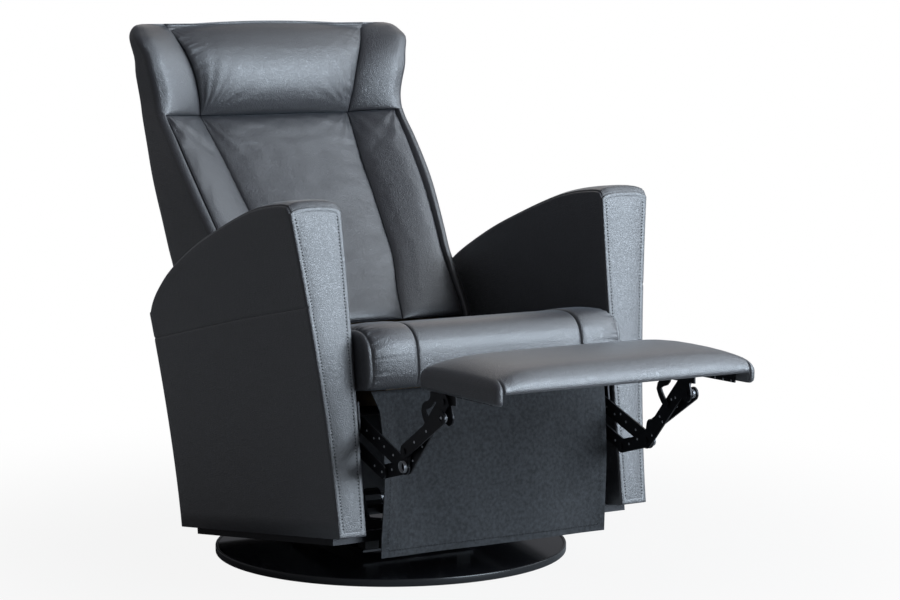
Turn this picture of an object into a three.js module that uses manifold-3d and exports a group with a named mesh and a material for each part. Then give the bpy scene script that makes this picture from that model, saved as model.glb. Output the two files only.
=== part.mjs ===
// Swivel rocker recliner with winged back, sloping arms and a disc base.
// Millimetres. X is the sitter's left, -Y the front, +Z up. The origin is on the floor, on the
// swivel axis. The chair stands as it was photographed: rocked back, reclined, footrest out.
import * as THREE from "three";
import { mergeVertices } from "three/addons/utils/BufferGeometryUtils.js";
import Module from "manifold-3d";

const wasm = await Module();
wasm.setup();

// Driving dimensions
const discRadius = 330;
const discThickness = 12;
const rockAxisHeight = 100;
const rockBackDegrees = 8;
const armFrontY = -380;
const armRearY = 262;
const armHeight = 644;
const armBottom = 66;
const seatHalfWidth = 262;
const seatNoseY = -432;
const seatTop = 428;
const seatUnder = 314;
const recliningLean = 34.8;
const backSeamFootY = 220;
const backSeamFootZ = 658;
const pillowSeamZ = 857;
const backTop = 1040;
const footrestInset = 7;
const footrestHalfWidth = seatHalfWidth - footrestInset;
const footrestDepth = 246;
const footrestThickness = 41;

// Clearances between neighbours
const touch = 0.35;
const runFit = 0.5;
const softGap = 0.8;
const overrun = 4;

const segments = { disc: 64, ring: 40, pin: 12, ball: 8, corner: 5 };

// Finishes, read from the photograph
const finish = {
  leather: { color: 0x2e2e33, roughness: 0.5, metalness: 0 },
  gloss: { color: 0x1c1b1f, roughness: 0.2, metalness: 0.2 },
  trim: { color: 0x2a2a2d, roughness: 0.6, metalness: 0 },
  blackSteel: { color: 0x1f2023, roughness: 0.45, metalness: 0.6 },
  zinc: { color: 0xa9adb0, roughness: 0.4, metalness: 0.9 },
  felt: { color: 0x3a3d42, roughness: 0.95, metalness: 0 },
  plywood: { color: 0xb08a5c, roughness: 0.8, metalness: 0 },
  rubber: { color: 0x202020, roughness: 0.9, metalness: 0 },
};

const chair = new THREE.Group();

function addPart(group, name, geometry, look) {
  const mesh = new THREE.Mesh(geometry, new THREE.MeshStandardMaterial(look));
  mesh.name = name;
  group.add(mesh);
  return mesh;
}

function toSolid(geometry) {
  const bare = geometry.clone();
  bare.deleteAttribute("normal");
  bare.deleteAttribute("uv");
  const merged = mergeVertices(bare);
  const vertProperties = new Float32Array(merged.attributes.position.array);
  const triVerts = new Uint32Array(merged.index.array);
  return new wasm.Manifold(new wasm.Mesh({ numProp: 3, vertProperties, triVerts }));
}

function toGeometry(solid) {
  const mesh = solid.getMesh();
  const geometry = new THREE.BufferGeometry();
  geometry.setAttribute("position", new THREE.BufferAttribute(mesh.vertProperties, 3));
  geometry.setIndex(new THREE.BufferAttribute(mesh.triVerts, 1));
  return geometry;
}

function joined(...geometries) {
  return toGeometry(geometries.map(toSolid).reduce((whole, piece) => whole.add(piece)));
}

function cut(geometry, ...tools) {
  return toGeometry(tools.map(toSolid).reduce((whole, tool) => whole.subtract(tool), toSolid(geometry)));
}

// A box between two opposite corners.
function block(x0, x1, y0, y1, z0, z1) {
  const box = new THREE.BoxGeometry(x1 - x0, y1 - y0, z1 - z0);
  return box.translate((x0 + x1) / 2, (y0 + y1) / 2, (z0 + z1) / 2);
}

// A round bar along Z between two heights, on an axis through (x, y).
function upright(radius, z0, z1, x = 0, y = 0, sides = segments.pin) {
  const bar = new THREE.CylinderGeometry(radius, radius, z1 - z0, sides).rotateX(Math.PI / 2);
  return bar.translate(x, y, (z0 + z1) / 2);
}

// A round bar along X between two places, through the side-view point (y, z).
function crossBar(radius, x0, x1, y, z, sides = segments.pin) {
  const bar = new THREE.CylinderGeometry(radius, radius, x1 - x0, sides).rotateZ(Math.PI / 2);
  return bar.translate((x0 + x1) / 2, y, z);
}

// A flat piece drawn in the side view (y, z) and given its thickness along X from x0 to x1.
function sidePlate(shape, x0, x1) {
  const plate = new THREE.ExtrudeGeometry(shape, {
    depth: x1 - x0, bevelEnabled: false, curveSegments: segments.corner,
  });
  const sideView = new THREE.Matrix4().makeBasis(
    new THREE.Vector3(0, 1, 0), new THREE.Vector3(0, 0, 1), new THREE.Vector3(1, 0, 0));
  return plate.applyMatrix4(sideView).translate(x0, 0, 0);
}

function polygon(points) {
  return new THREE.Shape(points.map(([y, z]) => new THREE.Vector2(y, z)));
}

// The outline of a straight bar with round ends about two side-view points.
function barShape(from, to, halfWidth) {
  const angle = Math.atan2(to.y - from.y, to.x - from.x);
  const shape = new THREE.Shape();
  shape.absarc(from.x, from.y, halfWidth, angle + Math.PI / 2, angle + Math.PI * 1.5, false);
  shape.absarc(to.x, to.y, halfWidth, angle - Math.PI / 2, angle + Math.PI / 2, false);
  return shape;
}

// A closed body through a row of rings with the same number of points, closed at both ends.
function loft(rings) {
  const count = rings[0].length;
  const positions = [];
  rings.forEach((ring) => ring.forEach((p) => positions.push(...p)));
  const middle = (ring) => [0, 1, 2].map((k) => ring.reduce((sum, p) => sum + p[k], 0) / count);
  positions.push(...middle(rings[0]), ...middle(rings[rings.length - 1]));
  const first = rings.length * count;
  const index = [];
  for (let i = 0; i < rings.length - 1; i += 1) {
    for (let j = 0; j < count; j += 1) {
      const a = i * count + j;
      const b = i * count + ((j + 1) % count);
      index.push(a, b, b + count, a, b + count, a + count);
    }
  }
  for (let j = 0; j < count; j += 1) {
    const next = (j + 1) % count;
    index.push(first, next, j);
    index.push(first + 1, first - count + j, first - count + next);
  }
  const geometry = new THREE.BufferGeometry();
  geometry.setAttribute("position", new THREE.Float32BufferAttribute(positions, 3));
  geometry.setIndex(index);
  return turnedOut(geometry);
}

// The same body with every face pointing out.
function turnedOut(geometry) {
  const p = geometry.attributes.position;
  const index = geometry.index.array;
  const [a, b, c] = [new THREE.Vector3(), new THREE.Vector3(), new THREE.Vector3()];
  let volume = 0;
  for (let i = 0; i < index.length; i += 3) {
    a.fromBufferAttribute(p, index[i]);
    b.fromBufferAttribute(p, index[i + 1]);
    c.fromBufferAttribute(p, index[i + 2]);
    volume += a.dot(b.cross(c));
  }
  if (volume < 0) {
    for (let i = 0; i < index.length; i += 3) [index[i], index[i + 1]] = [index[i + 1], index[i]];
  }
  return geometry;
}

// Mirrors a body to the other side of the chair.
function mirrored(geometry) {
  const copy = geometry.index ? geometry.clone() : mergeVertices(geometry.clone());
  copy.scale(-1, 1, 1);
  return turnedOut(copy);
}

function forBothSides(group, name, geometry, look) {
  addPart(group, `${name}_left`, geometry, look);
  addPart(group, `${name}_right`, mirrored(geometry), look);
}

// A straight-line table: the value at a place between hand-chosen stations.
function along(table, place) {
  if (place <= table[0][0]) return table[0][1];
  for (let i = 1; i < table.length; i += 1) {
    const [x1, y1] = table[i];
    const [x0, y0] = table[i - 1];
    if (place <= x1) return y0 + ((y1 - y0) * (place - x0)) / (x1 - x0);
  }
  return table[table.length - 1][1];
}

// Base: a glossy steel disc in an edge trim, with a ball-bearing ring on top.
const trimHeight = 14;
const trimWidth = 5;
const trimEase = 2;
const raceRadius = 80;
const raceBore = 40;
const raceThickness = 4;
const ballCircle = 60;
const ballRadius = 3;
const discTop = discThickness;
const lowerRaceTop = discTop + touch + raceThickness;
const ballTop = lowerRaceTop + touch + ballRadius * 2;
const swivelPlateBottom = ballTop + touch;
const swivelPlateThickness = 4;
const swivelPlateTop = swivelPlateBottom + swivelPlateThickness;

function turned(points, sides) {
  const profile = points.map(([r, z]) => new THREE.Vector2(r, z));
  profile.push(profile[0].clone());
  return turnedOut(mergeVertices(stripped(new THREE.LatheGeometry(profile, sides).rotateX(Math.PI / 2))));
}

function stripped(geometry) {
  geometry.deleteAttribute("normal");
  geometry.deleteAttribute("uv");
  return geometry;
}

function buildBase(group) {
  const discEdge = discRadius - trimWidth;
  addPart(group, "base_disc", upright(discEdge - touch, 0, discTop, 0, 0, segments.disc), finish.gloss);
  addPart(group, "base_edge_trim", turned([
    [discEdge, 0], [discRadius - trimEase, 0], [discRadius, trimEase],
    [discRadius, trimHeight - trimEase], [discRadius - trimEase, trimHeight], [discEdge, trimHeight],
  ], segments.disc), finish.trim);
  addPart(group, "swivel_lower_race", turned([
    [raceBore, discTop + touch], [raceRadius, discTop + touch],
    [raceRadius, lowerRaceTop], [raceBore, lowerRaceTop],
  ], segments.ring), finish.zinc);
  const ring = new THREE.TorusGeometry(ballCircle, ballRadius, segments.ball, segments.ring);
  addPart(group, "swivel_ball_ring", ring.translate(0, 0, lowerRaceTop + touch + ballRadius),
    finish.zinc);
}
buildBase(chair);

// Swivel body: plate, two stands, the rocker shaft with its springs, and the stops.
const plateHalfX = 118;
const plateHalfY = 104;
const standInner = 70;
const standThickness = 6;
const standHalfFoot = 70;
const standHalfTop = 20;
const shaftRadius = 10;
const springRadius = 19;
const springInner = 30;
const springOuter = 64;
const stopY = 88;
const stopHalf = 14;
const stopHalfX = 40;
const beamX = 98;
const beamHalf = 16;
const beamBottom = 52;
const beamTop = 70;
const rockForwardDegrees = 1;

function buildSwivel(group) {
  addPart(group, "swivel_plate",
    block(-plateHalfX, plateHalfX, -plateHalfY, plateHalfY, swivelPlateBottom, swivelPlateTop),
    finish.blackSteel);
  const foot = swivelPlateTop + touch;
  const standShape = polygon([
    [-standHalfFoot, foot], [standHalfFoot, foot],
    [standHalfTop, rockAxisHeight + standHalfTop], [-standHalfTop, rockAxisHeight + standHalfTop],
  ]);
  const stand = cut(sidePlate(standShape, standInner, standInner + standThickness),
    crossBar(shaftRadius + runFit, 0, standInner * 2, 0, rockAxisHeight, segments.pin * 2));
  forBothSides(group, "rocker_stand", stand, finish.blackSteel);
  const shaftHalf = beamX + beamHalf - overrun;
  addPart(group, "rocker_shaft", crossBar(shaftRadius, -shaftHalf, shaftHalf, 0, rockAxisHeight),
    finish.zinc);
  const spring = cut(crossBar(springRadius, springInner, springOuter, 0, rockAxisHeight),
    crossBar(shaftRadius + runFit, 0, springOuter + overrun, 0, rockAxisHeight));
  forBothSides(group, "rocker_spring", spring, finish.blackSteel);
  const farY = stopY + stopHalf;
  const underBeam = (y, degrees) => {
    const turn = THREE.MathUtils.degToRad(degrees);
    return rockAxisHeight - (rockAxisHeight - beamBottom) / Math.cos(turn) - y * Math.tan(turn);
  };
  const rearTop = underBeam(farY, rockBackDegrees) - touch;
  const frontTop = underBeam(farY, rockForwardDegrees) - touch;
  const stopX = beamX - stopHalf;
  const stopOuter = beamX + stopHalf;
  const rear = block(stopX, stopOuter, stopY - stopHalf, farY, foot, rearTop);
  const front = block(stopX, stopOuter, -farY, stopHalf - stopY, foot, frontTop);
  forBothSides(group, "rear_stop", rear, finish.rubber);
  forBothSides(group, "front_stop", front, finish.rubber);
}
buildSwivel(chair);

// Everything above the shaft is drawn level and then rocked back about it.
const rocked = new THREE.Group();
rocked.position.z = rockAxisHeight;
rocked.rotation.x = -THREE.MathUtils.degToRad(rockBackDegrees);
chair.add(rocked);
const level = new THREE.Group();
level.position.z = -rockAxisHeight;
rocked.add(level);

// Chassis: rails round the underside, two beams with hubs on the shaft. A sheet panel stands on the
// rear rail and closes the back under the seat.
const railHeight = beamTop - beamBottom;
const railWidth = 24;
const frontRailY = -329;
const rearRailY = 190;
const rearPanelTop = 268;
const rearPanelSheet = 3;
const armInnerGap = 2;
const armInnerFoot = seatHalfWidth + armInnerGap;
const sideRailReach = 40;
const sideRailX = armInnerFoot + sideRailReach;
const hubRadius = 20;
const hubHalf = 8;
const frameInset = 48;
const frameHalfX = seatHalfWidth - frameInset;
const runnerGap = 2;
const runnerInner = frameHalfX + runnerGap;
const runnerWidth = 14;
const runnerBottom = beamTop + touch;
const runnerTop = 200;
const runnerHalf = 120;

function buildChassis(group) {
  const hub = cut(joined(
    block(beamX - beamHalf, beamX + beamHalf, frontRailY + railWidth + touch, rearRailY - touch,
      beamBottom, beamTop),
    block(beamX - hubHalf, beamX + hubHalf, -hubRadius, hubRadius, beamTop - overrun, rockAxisHeight),
    crossBar(hubRadius, beamX - hubHalf, beamX + hubHalf, 0, rockAxisHeight, segments.pin * 2)),
    crossBar(shaftRadius + runFit, 0, beamX * 2, 0, rockAxisHeight, segments.pin * 2));
  forBothSides(group, "rocker_beam", hub, finish.blackSteel);
  addPart(group, "front_cross_rail",
    block(-sideRailX, sideRailX, frontRailY, frontRailY + railWidth, beamBottom, beamTop),
    finish.blackSteel);
  addPart(group, "rear_cross_rail", joined(
    block(-sideRailX, sideRailX, rearRailY, rearRailY + railWidth, beamBottom, beamTop),
    block(-seatHalfWidth, seatHalfWidth, rearRailY, rearRailY + rearPanelSheet,
      beamTop - overrun, rearPanelTop)), finish.blackSteel);
  const side = block(sideRailX - railWidth, sideRailX, frontRailY + railWidth + touch,
    rearRailY - touch, beamBottom, beamTop);
  forBothSides(group, "side_rail", side, finish.blackSteel);
  const runner = block(runnerInner - runnerWidth, runnerInner, -runnerHalf, runnerHalf, runnerBottom,
    runnerTop);
  forBothSides(group, "seat_runner", runner, finish.zinc);
}
buildChassis(level);

// Arms: a plywood board in each, padded and covered, wider at the top than at the bottom.
const armInnerPadding = 18;
const armBoardInner = armInnerFoot + armInnerPadding;
const armBoardThickness = 18;
const armBoardTop = 440;
const armBoardFrontInset = 50;
const armBoardRearInset = 62;
const armBoardFront = armFrontY + armBoardFrontInset;
const armBoardRear = armRearY - armBoardRearInset;
const armWidthFoot = 55;
const armWidthTop = 103;
const armInnerFlare = 5;
const armInnerTop = armInnerFoot + armInnerFlare;
const armOuterFoot = armInnerFoot + armWidthFoot;
const armOuterTop = armInnerTop + armWidthTop;
const armCrown = 8;
const armEdgeInset = 12;
const armEdgeBulge = 7;
const armFlarePower = 1.6;
const armInnerFlarePower = 4;
const armShoulder = 10;

// Sections along the arm: the place on the bottom edge and the place on the top line, as shares
// of the arm's length, and the height of the top line there as a share of the arm's height.
const armSectionShares = [
  [0, 0, 0.976], [0.022, 0.022, 0.99], [0.065, 0.065, 0.998], [0.14, 0.14, 1],
  [0.226, 0.226, 0.995], [0.343, 0.343, 0.976], [0.467, 0.467, 0.95], [0.592, 0.592, 0.92],
  [0.709, 0.709, 0.884], [0.794, 0.819, 0.843], [0.88, 0.903, 0.798], [0.947, 0.966, 0.753],
  [1, 1.012, 0.696],
];

function armOuter(z) {
  const share = Math.max(0, (z - armBottom) / (armHeight - armBottom));
  return armOuterFoot + (armOuterTop - armOuterFoot) * share ** armFlarePower;
}

function armInner(z) {
  const share = Math.max(0, (z - armBottom) / (armHeight - armBottom));
  return armInnerFoot + (armInnerTop - armInnerFoot) * share ** armInnerFlarePower;
}

const armInnerShares = [0, 0.35, 0.7, 1];
const armTopShares = [0.14, 0.36, 0.64, 0.86];
const armOuterShares = [1, 0.86, 0.7, 0.5, 0.3, 0.14, 0];

function armRing([bottomShare, topShare, heightShare]) {
  const yBottom = armFrontY + (armRearY - armFrontY) * bottomShare;
  const yTop = armFrontY + (armRearY - armFrontY) * topShare;
  const zTop = armBottom + (armHeight - armBottom) * heightShare;
  const shoulder = zTop - armShoulder;
  const place = (share, zEnd) =>
    [yBottom + (yTop - yBottom) * share, armBottom + (zEnd - armBottom) * share];
  const ring = armInnerShares.map((share) => {
    const [y, z] = place(share, shoulder);
    return [armInner(z), y, z];
  });
  armTopShares.forEach((share) => {
    const x = armInner(zTop) + (armOuter(zTop) - armInner(zTop)) * share;
    const rise = armCrown * Math.sin(Math.PI * share);
    ring.push([x, yTop, zTop - armCrown + rise]);
  });
  armOuterShares.forEach((share) => {
    const [y, z] = place(share, shoulder);
    ring.push([armOuter(z), y, z]);
  });
  return ring;
}

// A ring drawn in towards its middle and pushed out, for the puffed edge of an end panel.
function puffed(ring, inset, push) {
  const count = ring.length;
  const [x, , z] = [0, 1, 2].map((k) => ring.reduce((sum, p) => sum + p[k], 0) / count);
  return ring.map((p) => {
    const reach = Math.hypot(p[0] - x, p[2] - z);
    const keep = Math.max(0, 1 - inset / reach);
    return [x + (p[0] - x) * keep, p[1] + push, z + (p[2] - z) * keep];
  });
}

function buildArms(group) {
  const rings = armSectionShares.map(armRing);
  const lastRing = rings[rings.length - 1];
  rings.unshift(puffed(rings[0], armEdgeInset, -armEdgeBulge));
  rings.push(puffed(lastRing, armEdgeInset, armEdgeBulge));
  const slot = block(armBoardInner - touch, armBoardInner + armBoardThickness + touch,
    armBoardFront - touch, armBoardRear + touch, armBottom - overrun, armBoardTop + touch);
  const railRebate = block(armInnerFoot - overrun, sideRailX + touch, frontRailY - touch,
    rearRailY + railWidth + touch, armBottom - overrun, beamTop + touch);
  forBothSides(group, "arm", cut(loft(rings), slot, railRebate), finish.leather);
  const board = block(armBoardInner, armBoardInner + armBoardThickness, armBoardFront, armBoardRear,
    beamTop + touch, armBoardTop);
  forBothSides(group, "arm_board", board, finish.plywood);
}
buildArms(level);

// Seat: a frame with springs that carries the cushion and slides on the runners.
const frameRail = 22;
const frameTop = seatUnder - touch;
const frameBottom = 286;
const frameFrontY = -392;
const frameRearY = 28;
const seatSpringCount = 3;
const seatSpringWire = 2;
const seatSpringSwing = 22;
const seatSpringWaves = 6;
const slidePad = 4;
const slideBlockHalf = 90;
const springZ = 300;

// Mechanism planes, by the distance of each layer's inner face from the middle of the chair.
const steel = 3;
const layerPitch = 5;
const sidePlateInset = 5;
const sidePlateX = seatHalfWidth - sidePlateInset;
const layer = {
  bracket: sidePlateX - layerPitch * 4, long: sidePlateX - layerPitch * 3,
  seat: sidePlateX - layerPitch * 2, front: sidePlateX - layerPitch, side: sidePlateX,
};
const pinRadius = 4;
const headRadius = 5.5;
const headThickness = 1.4;
const linkHalf = 14;
const tailHalf = 12;

// Footrest board as photographed, in the level frame: its rear top edge and its forward drop.
const boardRearY = -579;
const boardRearZ = 357;
const boardRear = new THREE.Vector2(boardRearY, boardRearZ);
const boardDropDegrees = 7.24;
const foldedFaceY = -446;
const foldedTopZ = 290;
const boardForward = THREE.MathUtils.degToRad(180 + boardDropDegrees);
const forward = new THREE.Vector2(Math.cos(boardForward), Math.sin(boardForward));
const boardTurn = THREE.MathUtils.degToRad(90 - boardDropDegrees);

// A point on the footrest: so far forward of the rear edge, so far above the padded face.
function onBoard(forwardBy, aboveBy) {
  return boardRear.clone().addScaledVector(forward, forwardBy)
    .addScaledVector(new THREE.Vector2(forward.y, -forward.x), aboveBy);
}

// Linkage pivots in the side view. The knee and the foot pivot are placed by hand, and the seat
// pivot follows from the folded footrest, so that the long link only swings and never tilts.
const kneeY = -502;
const kneeZ = 186;
const knee = new THREE.Vector2(kneeY, kneeZ);
const footPivotRun = 64;
const footPivotDrop = 15;
const footPivot = onBoard(footPivotRun, -footrestThickness - footPivotDrop);
const seatPivotDrop = 76;
const foldedFootPivot = new THREE.Vector2(foldedFaceY, foldedTopZ)
  .add(footPivot.clone().sub(boardRear).rotateAround(new THREE.Vector2(), boardTurn));
const travel = foldedFootPivot.clone().sub(footPivot);
const seatPivotRun = (travel.lengthSq() / 2 - seatPivotDrop * travel.y) / travel.x;
const seatPivot = new THREE.Vector2(knee.x + seatPivotRun, knee.y + seatPivotDrop);
const tailBehindKnee = 80;
const tailBelowKnee = 10;
const tail = new THREE.Vector2(kneeY + tailBehindKnee, kneeZ - tailBelowKnee);
const rearPivot = seatPivot.clone().add(tail).sub(knee);
const frontPinAhead = 9.6;
const frontPinAbove = 26.3;
const frontPin = new THREE.Vector2(knee.x - frontPinAhead, knee.y + frontPinAbove);
const bracketPinAhead = 4.5;
const bracketPinBelow = 25.6;
const bracketPin = new THREE.Vector2(footPivot.x - bracketPinAhead, footPivot.y - bracketPinBelow);
const pinHoleRadius = pinRadius + runFit;

// A pin along X through a side-view point, with a round head on the far side.
function pin(point, from, to) {
  const step = Math.sign(to - from);
  const headFrom = to + step * runFit;
  const bar = crossBar(pinRadius, Math.min(from, headFrom), Math.max(from, headFrom),
    point.x, point.y);
  const headTo = headFrom + step * headThickness;
  const head = crossBar(headRadius, Math.min(headFrom, headTo), Math.max(headFrom, headTo),
    point.x, point.y);
  return joined(bar, head);
}

function pinHole(point) {
  return crossBar(pinHoleRadius, layer.bracket - overrun, layer.side + steel + overrun,
    point.x, point.y);
}

function buildLinks(group) {
  const seatInner = layer.seat;
  const seatOuter = layer.seat + steel;
  const seatLink = cut(joined(
    sidePlate(barShape(seatPivot, knee, linkHalf), seatInner, seatOuter),
    sidePlate(barShape(knee, frontPin, tailHalf), seatInner, seatOuter),
    pin(knee, seatInner + touch, layer.long),
    pin(frontPin, seatInner + touch, layer.front + steel)), pinHole(seatPivot));
  forBothSides(group, "seat_link", seatLink, finish.blackSteel);
  const rearLink = cut(joined(
    sidePlate(barShape(rearPivot, tail, tailHalf), seatInner, seatOuter),
    pin(tail, seatInner + touch, layer.long)), pinHole(rearPivot));
  forBothSides(group, "rear_link", rearLink, finish.blackSteel);
  const longLink = cut(joined(
    sidePlate(barShape(knee, footPivot, linkHalf), layer.long, layer.long + steel),
    sidePlate(barShape(tail, knee, tailHalf), layer.long, layer.long + steel)),
    pinHole(knee), pinHole(tail), pinHole(footPivot));
  forBothSides(group, "long_link", longLink, finish.blackSteel);
  const frontLink = cut(sidePlate(barShape(frontPin, bracketPin, tailHalf), layer.front,
    layer.front + steel), pinHole(frontPin), pinHole(bracketPin));
  forBothSides(group, "front_link", frontLink, finish.blackSteel);
}

// The footrest: pad and board on two brackets. Each bracket ends behind in a curved stop arm.
const boardThickness = 12;
const boardInset = 10;
const bracketFlange = 20;
const bracketDeep = 21;
const bracketHeel = 36;
const bracketHeelFront = 95;
const bracketFront = 208;
const bracketBack = 20;
const stopArmHalf = 6.5;
const stopArmReach = 108;
// The stop arm's middle line: forward of the board's rear edge and below its top, as shares of
// the arm's reach.
const stopArmShares = [[0.185, 0.41], [0.185, 0.52], [0.11, 0.61], [-0.02, 0.65], [-0.09, 0.74],
  [0.02, 0.91], [0.13, 1]];
const padCrown = 22;
const padEdgeDrop = 16.8;
const padEndDrop = 28;
const padMiddleThickness = 24;
const padCheek = 12;
// Across the pad's face: the place as a share of its depth, and how much of the crown is there.
const padTopShares = [[0, 0], [0.03, 0.5], [0.1, 0.86], [0.3, 1], [0.7, 1], [0.9, 0.9], [0.97, 0.62],
  [1, 0.1]];
const padUnderShares = [[1, 0.85], [0.97, 1], [0.03, 1], [0, 0.85]];
// Out from the middle: the place as a share of the half width, the size of the section there, and
// how much of the crown is left. A cheek hangs at each end, below the middle of the pad.
const padStationShares = [[1, 0.9, 0.05], [0.985, 0.96, 0.35], [0.94, 0.985, 0.62],
  [0.8, 1, 0.92], [0.5, 1, 1], [0, 1, 1]];

function buildFootrest(group) {
  const toBox = (x0, x1, u0, u1, v0, v1) => {
    const corners = [onBoard(u0, v0), onBoard(u1, v0), onBoard(u1, v1), onBoard(u0, v1)];
    return sidePlate(new THREE.Shape(corners), x0, x1);
  };
  const under = -footrestThickness;
  const boardLow = -padMiddleThickness;
  const padRing = (x, squeeze, crowned) => {
    const middle = footrestDepth / 2;
    const spread = (share) => middle + (footrestDepth * share - middle) * squeeze;
    const top = padTopShares.map(([share, rise]) => onBoard(spread(share),
      padCrown * rise * crowned - padEdgeDrop * (1 - rise) - padEndDrop * (1 - squeeze)));
    const low = padUnderShares.map(([share, depth]) => onBoard(spread(share),
      under * (depth - 1 + squeeze)));
    return [...top, ...low].map((p) => [x, p.x, p.y]);
  };
  const rings = padStationShares.map(([share, squeeze, crowned]) =>
    padRing(-footrestHalfWidth * share, squeeze, crowned));
  padStationShares.slice(0, -1).reverse().forEach(([share, squeeze, crowned]) =>
    rings.push(padRing(footrestHalfWidth * share, squeeze, crowned)));
  const recessHalf = footrestHalfWidth - padCheek;
  const recess = toBox(-recessHalf, recessHalf, -overrun, footrestDepth + overrun, under - overrun,
    boardLow);
  const boardHalf = footrestHalfWidth - boardInset;
  const board = (extra) => toBox(-boardHalf - extra, boardHalf + extra, boardInset - extra,
    footrestDepth - boardInset + extra, boardLow - extra * overrun * 2,
    boardLow + boardThickness + extra);
  addPart(group, "footrest_pad", cut(loft(rings), board(touch), recess), finish.leather);
  addPart(group, "footrest_board", board(0), finish.plywood);
  const inner = layer.bracket;
  const outer = layer.bracket + steel;
  const armCurve = new THREE.SplineCurve(stopArmShares.map(([run, drop]) =>
    onBoard(stopArmReach * run, -stopArmReach * drop)));
  const armPoints = armCurve.getPoints(segments.pin);
  const armSide = (sign) => armPoints.map((p, i) => {
    const ahead = armPoints[Math.min(i + 1, armPoints.length - 1)];
    const behind = armPoints[Math.max(i - 1, 0)];
    const across = ahead.clone().sub(behind).normalize()
      .rotateAround(new THREE.Vector2(), Math.PI / 2);
    return p.clone().addScaledVector(across, sign * stopArmHalf);
  });
  const armShape = new THREE.Shape([...armSide(1), ...armSide(-1).reverse()]);
  const bracket = joined(
    toBox(inner, outer, bracketBack, bracketFront, boardLow - bracketDeep, boardLow - touch),
    toBox(inner, outer, bracketBack, bracketHeelFront, boardLow - bracketHeel, boardLow - touch),
    toBox(inner - bracketFlange, outer, bracketBack, bracketFront, boardLow - touch - steel,
      boardLow - touch),
    sidePlate(armShape, inner, outer),
    sidePlate(barShape(footPivot, bracketPin, linkHalf), inner, outer),
    pin(footPivot, inner + touch, layer.long + steel),
    crossBar(headRadius, inner - headThickness, inner + touch, bracketPin.x, bracketPin.y));
  forBothSides(group, "footrest_bracket", bracket, finish.blackSteel);
}
buildLinks(level);
buildFootrest(level);

const cushionRearY = 44;

// Mechanism side plates, tied by two tubes, carrying the link pivots and the back hinge.
const backHingeY = 75;
const backHingeZ = 390;
const backHinge = new THREE.Vector2(backHingeY, backHingeZ);
const tubeRadius = 9;
const frontTubeY = -290;
const rearTubeY = 20;
const tubeZ = frameBottom - touch - tubeRadius;
const plateFrontY = -372;
const plateLow = 232;
const plateStep = 262;
const plateHigh = 296;
const hingeHalf = 17;
const hingeGap = 6;

function buildSeat(group) {
  const plateShape = polygon([
    [plateFrontY, plateLow + hingeHalf], [plateFrontY + hingeHalf, plateLow],
    [rearPivot.x + hingeHalf, plateLow], [rearPivot.x + hingeHalf * 3, plateStep],
    [rearTubeY, plateStep], [backHinge.x + hingeHalf, plateHigh + hingeHalf],
    [backHinge.x + hingeHalf, backHinge.y + hingeHalf],
    [backHinge.x - hingeHalf, backHinge.y + hingeHalf],
    [cushionRearY + hingeGap, backHinge.y - hingeHalf], [cushionRearY + hingeGap, plateHigh],
    [plateFrontY, plateHigh],
  ]);
  const outer = layer.side + steel;
  const sideFrame = cut(joined(
    sidePlate(plateShape, layer.side, outer),
    pin(seatPivot, layer.side + touch, layer.seat),
    pin(rearPivot, layer.side + touch, layer.seat)),
    crossBar(pinHoleRadius, layer.side - overrun, outer + overrun, backHinge.x, backHinge.y));
  forBothSides(group, "mechanism_plate", sideFrame, finish.blackSteel);
  const tubeHalf = layer.side - touch;
  addPart(group, "front_torsion_tube", crossBar(tubeRadius, -tubeHalf, tubeHalf, frontTubeY, tubeZ),
    finish.blackSteel);
  addPart(group, "rear_torsion_tube", crossBar(tubeRadius, -tubeHalf, tubeHalf, rearTubeY, tubeZ),
    finish.blackSteel);
  const frame = cut(
    block(-frameHalfX, frameHalfX, frameFrontY, frameRearY, frameBottom, frameTop),
    block(-frameHalfX + frameRail, frameHalfX - frameRail, frameFrontY + frameRail,
      frameRearY - frameRail, frameBottom - overrun, frameTop + overrun));
  addPart(group, "seat_frame", frame, finish.plywood);
  const slideBlock = block(runnerInner - runnerWidth, runnerInner - touch, -slideBlockHalf,
    frameRearY - slidePad, runnerTop + touch, tubeZ - tubeRadius - touch);
  forBothSides(group, "slide_block", slideBlock, finish.blackSteel);
  const springFrom = frameFrontY + frameRail + seatSpringWire;
  const springTo = frameRearY - frameRail - seatSpringWire;
  const spacing = ((frameHalfX - frameRail) * 2) / (seatSpringCount + 1);
  for (let n = 0; n < seatSpringCount; n += 1) {
    const x = -frameHalfX + frameRail + spacing * (n + 1);
    const points = [];
    const steps = seatSpringWaves * 4;
    for (let i = 0; i <= steps; i += 1) {
      const share = i / steps;
      const sway = -seatSpringSwing * Math.cos(share * seatSpringWaves * Math.PI * 2);
      points.push(new THREE.Vector3(x + sway, springFrom + (springTo - springFrom) * share, springZ));
    }
    const path = new THREE.CatmullRomCurve3(points);
    const section = new THREE.Shape();
    section.absarc(0, 0, seatSpringWire, 0, Math.PI * 2, false);
    const wire = new THREE.ExtrudeGeometry(section, {
      extrudePath: path, steps: steps * 2, curveSegments: segments.corner, bevelEnabled: false,
    });
    addPart(group, `seat_spring_${n + 1}`, toGeometry(toSolid(wire)), finish.zinc);
  }
}

// Seat cushion: a front roll, a crowned top and two seams that run front to back.
const cushionSidePanel = 94;
const cushionSeamX = seatHalfWidth - cushionSidePanel;
const cushionSeamDip = 5;
const cushionSeamFlank = 12;
const cushionSideTuck = 17;
const cushionNoseTuck = 20;
const cushionRearTop = 404;
const cushionEndInset = 9;
const cushionTuckPower = 5;
const cushionNosePower = 3;
const cushionMidShare = 0.6;
const cushionSideShares = [1, 0.985, 0.93, 0.82, 0.7];
const seatDepth = cushionRearY - seatNoseY;
const seatRise = seatTop - seatUnder;

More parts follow.
